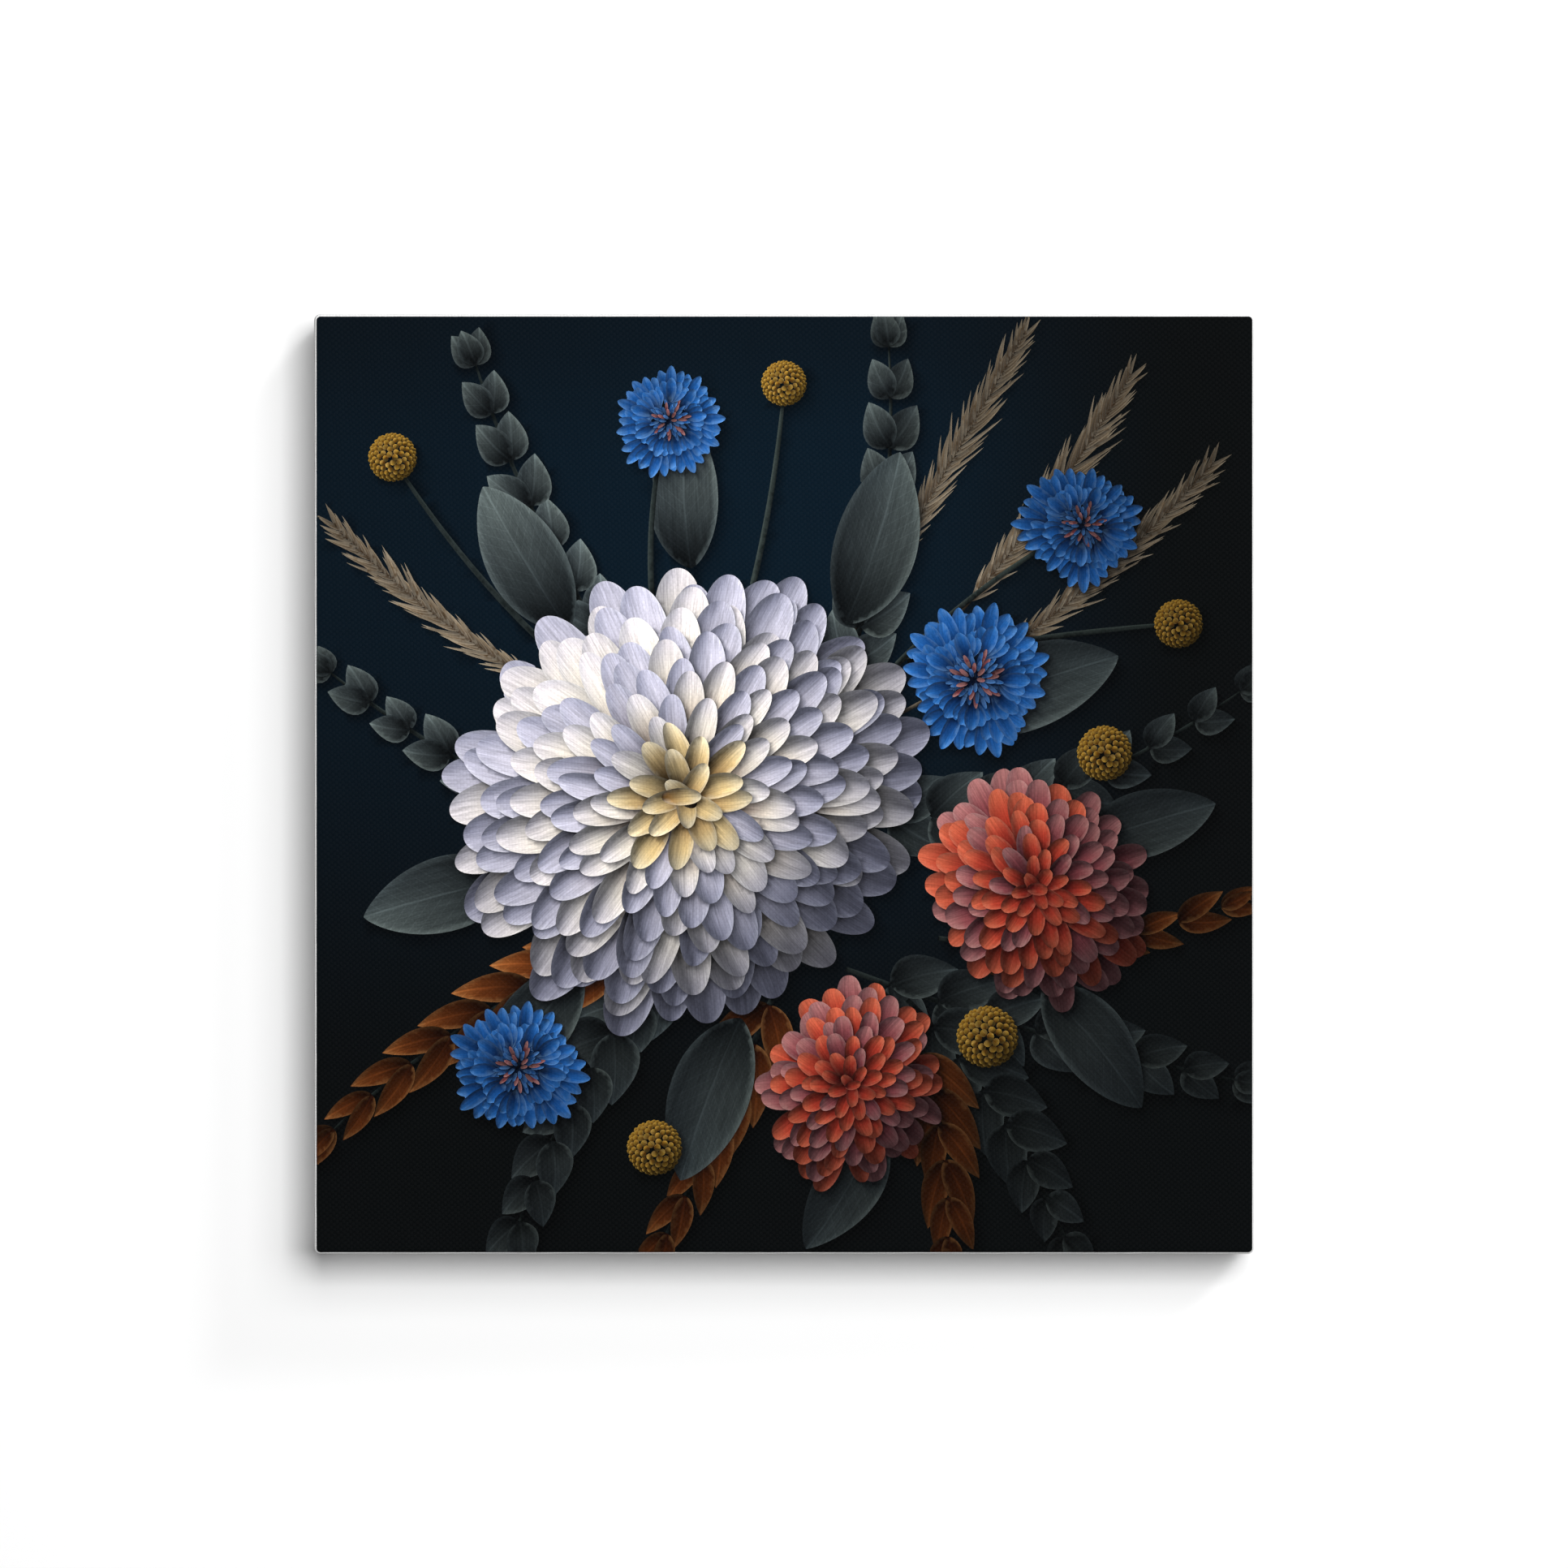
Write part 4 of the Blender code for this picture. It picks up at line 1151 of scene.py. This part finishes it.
def printed_cloth():
    """Pigment inks soaked into the primed threads, streaked along each petal and veined on the leaves."""
    made, tree, shader = finish("printed_canvas", Specular_IOR_Level=0.02, Roughness=0.75)
    weave = woven(tree)[1]
    ink = add(tree, "ShaderNodeAttribute", attribute_name="print")["Vector"]
    vein = add(tree, "ShaderNodeAttribute", attribute_name="vein")["Vector"]
    along, aside, kind = vein.parts()
    drawn = kind.worked("GREATER_THAN", -0.5)
    leafy = kind.worked("GREATER_THAN", 1.5)
    petal = kind.worked("LESS_THAN", 1.5)
    streak = (vein * (150.0, 2400.0, 60.0)).noise(1.0, 2.0, 0.55).ranged(0.3, 0.7, 0.80, 1.18)
    band = (vein * (70.0, 700.0, 90.0)).noise(1.0).ranged(0.3, 0.7, 0.86, 1.12)
    beside = aside.worked("ABSOLUTE")
    rib = beside.ranged(0.0001, 0.0005, 1.0, 0.0, smooth=True)
    side_veins = ((beside * -1.1 + along) * 760.0).worked("SINE").worked("ABSOLUTE")
    side_veins = side_veins.ranged(0.0, 0.22, 1.0, 0.0, smooth=True)
    leaf_lines = rib.worked("MAXIMUM", side_veins * 0.55) * leafy * 0.55 + 1.0
    petal_rib = rib * petal * -0.10 + 1.0
    drawing = drawn.blended(1.0, streak * band * leaf_lines * petal_rib)
    # painted shade: the inks are darker in the gaps between threads, where shade falls
    gap_shade = weave["Gap"].ranged(0.0, 1.0, 1.015, 0.94)
    # each thread's own tone, times a painted highlight and shade: lighter where the warp lies on top, darker
    # where the weft does
    thread_tone_and_glint = weave["Tone"].ranged(0.0, 1.0, 0.97, 1.03) * weave["Warp"].ranged(0.0, 1.0, 0.975, 1.025)
    colour = ink * (drawing * gap_shade * thread_tone_and_glint)
    # partly primer showing through thin ink, partly a painted glint: the warp's crowns lifted towards white
    colour = (weave["Warp"] * 0.0013).mixed(colour, PRIMER)
    feed(shader, Base_Color=colour, Normal=bump(weave["Height"], PRINTED_DEPTH, 0.5))
    return made


def primed_cloth():
    """White acrylic primer on the threads, a little soiled along the turns by handling."""
    made, tree, shader = finish("primed_canvas", Specular_IOR_Level=0.25, Roughness=0.6)
    weave = woven(tree)[1]
    # painted shade: the primer is greyer in the gaps between threads
    colour = (weave["Gap"] * 0.35).mixed(PRIMER, (0.68, 0.68, 0.67))
    colour = soiled(object_place(tree), 0.10).mixed(colour, (0.60, 0.56, 0.49))
    feed(shader, Base_Color=colour, Normal=bump(weave["Height"], PRIMED_DEPTH, 0.6))
    return made


def raw_cloth():
    """Bare cotton with thick and thin threads, and specks of seed husk."""
    made, tree, shader = finish("raw_canvas", Specular_IOR_Level=0.1, Roughness=0.9)
    cloth, weave = woven(tree, RAW_SWAY)
    slub = (cloth * (60.0, 1500.0, 1.0)).noise(1.0)
    tone = slub * 0.35 + (weave["Tone"] * 0.16 + 0.20)
    colour = tone.ranged(0.2, 0.7).mixed((0.56, 0.49, 0.375), (0.73, 0.66, 0.535))
    # painted shade: dark brown in the gaps between threads
    colour = (weave["Gap"] * 0.65).mixed(colour, (0.24, 0.19, 0.12))
    husk = cloth.noise(1900.0, 1.0).ranged(0.74, 0.80)
    colour = husk.mixed(colour, (0.16, 0.10, 0.05))
    feed(shader, Base_Color=colour, Normal=bump(weave["Height"], RAW_DEPTH, 0.8))
    return made


for material in (printed_cloth(), primed_cloth(), raw_cloth()):
    canvas_mesh.materials.append(material)
canvas_mesh.shade_smooth()
canvas_mesh.set_sharp_from_angle(angle=math.radians(50))
canvas = placed("canvas_print", canvas_mesh)
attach(canvas, "root")
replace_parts(canvas, "canvas")


# ---- Frayed threads ---------------------------------------------------------------------------------
# Cutting the sheet leaves loose cotton threads along its edge behind: short bent strands, each a little
# thinner at its end. Most lie flat on the wood, and a few stand off it.

THREADS = 640
THREAD_LONG = 0.0038
THREAD_R = 0.00011
THREAD_SEED = 11
COTTON_DEPTH = 0.00006


def ended(exit_node, instances, material):
    """The tree's last steps: the instances made real, and their material."""
    real = add(instances.tree, "GeometryNodeRealizeInstances", {"Geometry": instances})
    shown = add(instances.tree, "GeometryNodeSetMaterial", {"Geometry": real, "Material": material})
    feed(exit_node, Geometry=shown)


def grown(name, base, tree, **sizes):
    """The piece that a tree makes from a base mesh, as a plain mesh."""
    made = placed(name, base)
    modifier = made.modifiers.new(name, "NODES")
    modifier.node_group = tree
    for socket in tree.interface.items_tree:
        if socket.in_out == "INPUT" and socket.name in sizes:
            modifier[socket.identifier] = sizes[socket.name]
    settle(made)
    made.data.shade_smooth()
    return made


def direction(tree, **parts):
    """A direction made of its X, Y and Z, or those of them that aren't 0."""
    return add(tree, "ShaderNodeCombineXYZ", parts)


def random_value(seed, low, high):
    """A random value for each instance, or a random direction where the range is between two of them."""
    first, kind = (0, "FLOAT_VECTOR") if isinstance(low, tuple) else (2, "FLOAT")
    sockets = {first: low, first + 1: high, "Seed": seed}
    return add(seed.tree, "FunctionNodeRandomValue", sockets, data_type=kind)[first // 2]


def frayed_edge(material):
    """A bent, tapering strand on each of many places along the cut edge, pointing off the cloth."""
    tree, entry, exit_node = group(
        "frayed_edge",
        dict(Geometry="Geometry", Count="Int", Length="Float", Radius="Float", Seed="Int"),
        dict(Geometry="Geometry"),
        "GeometryNodeTree",
    )
    line = add(tree, "GeometryNodeMeshToCurve", {"Mesh": entry["Geometry"]})
    spots = add(tree, "GeometryNodeResampleCurve", {"Curve": line, "Count": entry["Count"]})
    length = entry["Length"]
    bend, end = direction(tree, X=length * 0.5), direction(tree, X=length, Y=length * 0.30)
    bow = {"Resolution": 5, "Start": (0, 0, 0), "Middle": bend, "End": end}
    bow = add(tree, "GeometryNodeCurveQuadraticBezier", bow)
    taper = add(tree, "GeometryNodeSplineParameter").ranged(0.0, 1.0, 1.0, 0.45)
    section = add(tree, "GeometryNodeCurvePrimitiveCircle", {"Resolution": 5, "Radius": 1.0})
    strand = {"Curve": bow, "Profile Curve": section, "Scale": taper * entry["Radius"], "Fill Caps": True}
    strand = add(tree, "GeometryNodeCurveToMesh", strand)
    off_cloth = add(tree, "GeometryNodeInputNamedAttribute", {"Name": "inward"}, data_type="FLOAT_VECTOR")
    stray = random_value(entry["Seed"] + 1.0, (-0.9, -0.05, -0.9), (0.9, 0.22, 0.9))
    aligned = add(tree, "FunctionNodeAlignRotationToVector", {"Vector": off_cloth + stray}, axis="X")
    twist = direction(tree, X=random_value(entry["Seed"] + 2.0, -2.6, 2.6))
    twist = add(tree, "FunctionNodeEulerToRotation", {0: twist})
    turned = add(tree, "FunctionNodeRotateRotation", {0: aligned, 1: twist}, rotation_space="LOCAL")
    long = random_value(entry["Seed"] + 3.0, 0.25, 1.0).worked("POWER", 3.0) * 0.9 + 0.3
    size = direction(tree, X=long, Y=1.0, Z=1.0)
    sockets = {"Points": spots, "Instance": strand, "Rotation": turned, "Scale": size}
    ended(exit_node, add(tree, "GeometryNodeInstanceOnPoints", sockets), material)
    return tree


def loose_thread():
    """Unbleached cotton, paler and darker by turns, and finely hairy."""
    made, tree, shader = finish("loose_cotton", Specular_IOR_Level=0.15, Roughness=0.85)
    place = object_place(tree)
    tone = place.noise(420.0).ranged(0.35, 0.65)
    relief = bump(place.noise(5200.0, 2.0, 0.6), COTTON_DEPTH, 0.6)
    feed(shader, Base_Color=tone.mixed((0.56, 0.49, 0.38), (0.80, 0.77, 0.70)), Normal=relief)
    return made


last_outer, first_inside = laid[len(outer_rows) - 1][0], laid[len(outer_rows)][0]
cut_line = (last_outer + first_inside) / 2 + (MIDDLE.x, 0.0, MIDDLE.z)
cut_mesh = bpy.data.meshes.new("cut_edge")
cut_mesh.from_pydata(cut_line.tolist(), closed(columns), [])
inward = np.insert(-rim_away, 1, 0.0, 1)
cut_mesh.attributes.new("inward", "FLOAT_VECTOR", "POINT").data.foreach_set("vector", inward.ravel())
fraying = frayed_edge(loose_thread())
sizes = {"Count": THREADS, "Length": THREAD_LONG, "Radius": THREAD_R, "Seed": THREAD_SEED}
threads = grown("frayed_threads", cut_mesh, fraying, **sizes)
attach(threads, "root")


# ---- Staples ----------------------------------------------------------------------------------------
# Fine galvanised staples hold the canvas to the back of the bars, seven to a side and two across a corner.
# Each is bent from flattened wire, and lies with its crown pressed into the cloth and its legs in the wood.

CROWN = 0.0100
LEG = 0.0075
WIRE_WIDE = 0.0010
WIRE_THICK = 0.0006
WIRE_BEND = 0.0007
WIRE_EASED = 0.3  # the rounding on the wire's own edges, as a share of its thickness
CROWN_SUNK = 0.00025  # how far the crown is pressed below the CAD staple's
SCRATCH_DEPTH = 0.00001


def filleted(path, radius, count):
    """A curve with its corners rounded."""
    sockets = {"Curve": path, "Radius": radius, "Count": count}
    return add(path.tree, "GeometryNodeFilletCurve", sockets, mode="POLY")


def stapled(material):
    """One bent wire on each point, turned to the point's own angle."""
    tree, entry, exit_node = group(
        "stapled",
        dict(Geometry="Geometry", Crown="Float", Leg="Float", Wide="Float", Thick="Float", Bend="Float"),
        dict(Geometry="Geometry"),
        "GeometryNodeTree",
    )
    half, down = entry["Crown"] * 0.5, entry["Leg"] * -1.0
    ends = [{"X": half * -1.0, "Y": down}, {"X": half * -1.0}, {"X": half}, {"X": half, "Y": down}]
    corners = {f"Point {number + 1}": direction(tree, **parts) for number, parts in enumerate(ends)}
    path = add(tree, "GeometryNodeCurvePrimitiveQuadrilateral", corners, mode="POINTS")
    path = add(tree, "GeometryNodeSetSplineCyclic", {0: path, "Cyclic": False})
    path = filleted(path, entry["Bend"], 4)
    path = add(tree, "GeometryNodeSetCurveNormal", {"Curve": path}, mode="Z_UP")
    section = {"Width": entry["Thick"], "Height": entry["Wide"]}
    section = add(tree, "GeometryNodeCurvePrimitiveQuadrilateral", section)
    section = filleted(section, entry["Thick"] * WIRE_EASED, 3)
    wire = {"Curve": path, "Profile Curve": section, "Fill Caps": True}
    wire = add(tree, "GeometryNodeCurveToMesh", wire)
    swing = add(tree, "GeometryNodeInputNamedAttribute", {"Name": "swing"}, data_type="FLOAT")
    turned = add(tree, "FunctionNodeEulerToRotation", {0: direction(tree, Y=swing)})
    sockets = {"Points": entry["Geometry"], "Instance": wire, "Rotation": turned}
    ended(exit_node, add(tree, "GeometryNodeInstanceOnPoints", sockets), material)
    return tree


def zinc(name, colour, spangle, roughness):
    """Bright zinc on steel: crystals of slightly different tone, fine scratches and dulled edges."""
    made, tree, shader = finish(name, Metallic=1.0, Specular_IOR_Level=0.5)
    place = object_place(tree)
    crystals = add(tree, "ShaderNodeTexVoronoi", {"Vector": place, "Scale": spangle})
    tone = crystals["Color"].parts()[0]
    scratch = (place * (60.0, 900.0, 2600.0)).noise(1.0, 3.0, 0.6)
    dull = soiled(place, 0.6)
    shade = tone.mixed(tuple(0.86 * c for c in colour), colour)
    rough = tone * 0.12 + scratch.ranged(0.3, 0.7, roughness - 0.06, roughness + 0.08)
    feed(
        shader,
        Base_Color=dull.mixed(shade, (0.30, 0.29, 0.27)),
        Roughness=dull * 0.25 + rough,
        Normal=bump(scratch, SCRATCH_DEPTH, 0.6),
    )
    return made


crown_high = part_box("staple_top_1")[1].y - CROWN_SUNK - WIRE_THICK / 2
staple_points = bpy.data.meshes.new("staple_points")
staple_points.from_pydata([(x + MIDDLE.x, crown_high, z + MIDDLE.z) for x, z in crowns[:, :2]], [], [])
swings = np.arctan2(-crowns[:, 3], crowns[:, 2])
staple_points.attributes.new("swing", "FLOAT", "POINT").data.foreach_set("value", swings)
stapling = stapled(zinc("galvanised_wire", (0.70, 0.70, 0.70), 1800.0, 0.28))
sizes = {"Crown": CROWN - WIRE_THICK, "Leg": LEG, "Wide": WIRE_WIDE, "Thick": WIRE_THICK, "Bend": WIRE_BEND}
staples = grown("staples", staple_points, stapling, **sizes)
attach(staples, "root")
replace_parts(staples, *[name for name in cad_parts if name.startswith("staple_")])


# ---- Hanger and nails -------------------------------------------------------------------------------
# A sawtooth strip pressed from thin zinc-plated steel, its toothed middle raised to ride on the wall's nail.
# Two round-headed nails hold its flat ends to the top bar.

PRESSED_EDGE = 0.00012
NAIL_EDGE = 0.00010
NAIL_ANGLE = 35  # above the turn between two faces of a nail's round shank, below its corners'

plated = zinc("zinc_plate", (0.66, 0.66, 0.64), 900.0, 0.30)
softened("sawtooth_hanger", "hanger", plated, PRESSED_EDGE)
for side in ("left", "right"):
    softened(f"{side}_nail", f"nail_{side}", plated, NAIL_EDGE, NAIL_ANGLE)


# ---- Bumpers ----------------------------------------------------------------------------------------
# Two self-adhesive black rubber domes on the lower corners keep the picture upright and off the wall. Each
# is moulded with a rounded shoulder and a flat top.

BUMPER_SIDES = 48
SHOULDER_STEPS = 9
SHOULDER_TALL = 0.62  # the rounded shoulder, as a share of the bumper's height
SHOULDER_WIDE = 0.42  # and of its radius
BASE_EASED = 0.0001
TOP_HOLLOW = 0.00005
RUBBER_DEPTH = 0.00004


def moulded_rubber():
    """Black rubber, dull, with a fine moulded grain and pale dust in the hollows of it."""
    made, tree, shader = finish("black_rubber", Specular_IOR_Level=0.4)
    place = object_place(tree)
    grain = place.noise(2600.0, 3.0, 0.6)
    dusty = grain * 0.03 + soiled(place, 1.0) * 0.10
    feed(
        shader,
        Base_Color=dusty.mixed((0.018, 0.018, 0.019), (0.45, 0.44, 0.42)),
        Roughness=grain.ranged(0.3, 0.7, 0.5, 0.72),
        Normal=bump(grain, RUBBER_DEPTH, 0.5),
    )
    return made


def bumper(name, node, material):
    """A dome turned about its own middle, inside the CAD bumper's box."""
    low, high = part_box(node)
    radius, tall = (high.x - low.x) / 2, high.y - low.y
    profile = [(radius - BASE_EASED, 0.0), (radius, BASE_EASED)]
    for angle in np.linspace(0, math.pi / 2, SHOULDER_STEPS):
        across = radius - SHOULDER_WIDE * radius * (1 - math.cos(angle))
        profile.append((across, tall - SHOULDER_TALL * tall * (1 - math.sin(angle))))
    base = np.array(((low.x + high.x) / 2, low.y, (low.z + high.z) / 2))
    points = [base, base + (0.0, tall - TOP_HOLLOW, 0.0)]
    for across, up in profile:
        for turn in np.arange(BUMPER_SIDES) * 2 * math.pi / BUMPER_SIDES:
            points.append(base + (across * math.cos(turn), up, -across * math.sin(turn)))
    first, last = 2, 2 + (len(profile) - 1) * BUMPER_SIDES
    faces = []
    for here, after in closed(BUMPER_SIDES):
        faces.append((0, first + after, first + here))
        for ring in range(first, last, BUMPER_SIDES):
            above = ring + BUMPER_SIDES
            faces.append((ring + here, ring + after, above + after, above + here))
        faces.append((1, last + here, last + after))
    mesh = bpy.data.meshes.new(name)
    mesh.from_pydata(points, [], faces)
    mesh.shade_smooth()
    mesh.set_sharp_from_angle(angle=math.radians(50))
    made = placed(name, mesh, material)
    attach(made, "root")
    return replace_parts(made, node)


rubber = moulded_rubber()
for side in ("left", "right"):
    bumper(f"{side}_bumper", f"bumper_{side}", rubber)


# ---- Studio -----------------------------------------------------------------------------------------
# A white wall behind the picture and a pale floor below it, lit by a soft box at the upper right, with some
# spill beyond it, by one high at the side and one behind, for the back, and by an even white room. The wall
# is clear from behind. A long lens looks straight at the middle of the canvas.

WALL_WIDE = 6.0
FLOOR_Z = -1.0
WALL_PAINT = (0.92, 0.92, 0.92)
FLOOR_PAINT = (0.80, 0.80, 0.79)
EYE_FAR = 2.83
VIEW_WIDE = 0.5087  # what the camera takes in at the canvas
SENSOR = 0.036
LAMP_FAR = 3.2
LAMP_CORNER = (-0.21, -0.13)  # the soft boxes' lower left corner, from the canvas's middle line and middle
SOFT_BOXES = (("key", 1.06, 67.5), ("spill", 2.10, 77.5))  # how far right and up each reaches, and its power
ROOM_LIGHT = 0.02
WALL_GLOW = 0.28  # what a white wall gives back to the sides and the back
ROOM_SEEN = 0.78


def matte(name, colour, see_through):
    """A plain painted finish, clear from behind where it stands between the eye and the picture."""
    made, tree, shader = finish(name, Specular_IOR_Level=0.1, Roughness=0.9)
    mottle = object_place(tree).noise(3.0)
    feed(shader, Base_Color=mottle.mixed(colour, tuple(0.985 * c for c in colour)))
    if see_through:
        behind = add(tree, "ShaderNodeNewGeometry")["Backfacing"]
        clear = add(tree, "ShaderNodeBsdfTransparent")
        either = add(tree, "ShaderNodeMixShader", {0: behind, 1: Signal(shader.outputs[0]), 2: clear})
        feed(tree.nodes["Material Output"], Surface=either)
    return made


def backdrop(name, corners, material):
    """One large flat face of the room."""
    mesh = bpy.data.meshes.new(name)
    mesh.from_pydata(corners, [], [(0, 1, 2, 3)])
    made = placed(name, mesh, material)
    return made


def soft_box(name, place, size, power, aim):
    """A lamp turned to its aim, and not seen itself."""
    lamp = bpy.data.lights.new(name, "AREA")
    lamp.shape = "RECTANGLE"
    lamp.size, lamp.size_y = size
    lamp.energy = power
    made = bpy.data.objects.new(name, lamp)
    bpy.context.scene.collection.objects.link(made)
    made.location = place
    made.rotation_euler = (Vector(aim) - Vector(place)).to_track_quat("-Z", "Y").to_euler()
    made.visible_camera = False


half = WALL_WIDE / 2
wall = backdrop(
    "wall",
    [(-half, 0, FLOOR_Z), (half, 0, FLOOR_Z), (half, 0, half), (-half, 0, half)],
    matte("wall_paint", WALL_PAINT, True),
)
wall.visible_shadow = False
wall.visible_diffuse = False
wall.visible_glossy = False
floor = backdrop(
    "floor",
    [(-half, -half, FLOOR_Z), (half, -half, FLOOR_Z), (half, half, FLOOR_Z), (-half, half, FLOOR_Z)],
    matte("floor_paint", FLOOR_PAINT, False),
)
floor.visible_diffuse = False
centre = Vector((MIDDLE.x, FRONT_Y, MIDDLE.z))
for name, reach, power in SOFT_BOXES:
    across, up = (LAMP_CORNER[0] + reach) / 2, MIDDLE.z + (LAMP_CORNER[1] + reach) / 2
    size = (reach - LAMP_CORNER[0], reach - LAMP_CORNER[1])
    soft_box(name, (across, -LAMP_FAR, up), size, power, (across, 0.0, up))
soft_box("high", (3.4, -3.0, 3.6), (1.2, 1.2), 78.0, centre)
soft_box("behind", (0.7, 2.4, 1.3), (1.4, 1.4), 36.0, centre)

world = bpy.data.worlds.new("room")
world.use_nodes = True
room = world.node_tree
background = room.nodes["Background"]
background.inputs["Color"].default_value = (1.0, 1.0, 1.0, 1.0)
depth = add(room, "ShaderNodeTexCoord")["Generated"].parts()[1]
glow = depth.ranged(-0.1, 0.1, ROOM_LIGHT, WALL_GLOW)
feed(background, Strength=add(room, "ShaderNodeLightPath")["Is Camera Ray"].blended(glow, ROOM_SEEN))
bpy.context.scene.world = world
bpy.context.scene.view_settings.view_transform = "Standard"

lens = bpy.data.cameras.new("eye")
lens.sensor_width = 1000 * SENSOR
lens.lens = 1000 * SENSOR * EYE_FAR / VIEW_WIDE
lens.clip_end = 20.0
eye = bpy.data.objects.new("eye", lens)
bpy.context.scene.collection.objects.link(eye)
eye.location = centre - Vector((0, EYE_FAR, 0))
eye.rotation_euler = (math.pi / 2, 0, 0)
bpy.context.scene.camera = eye
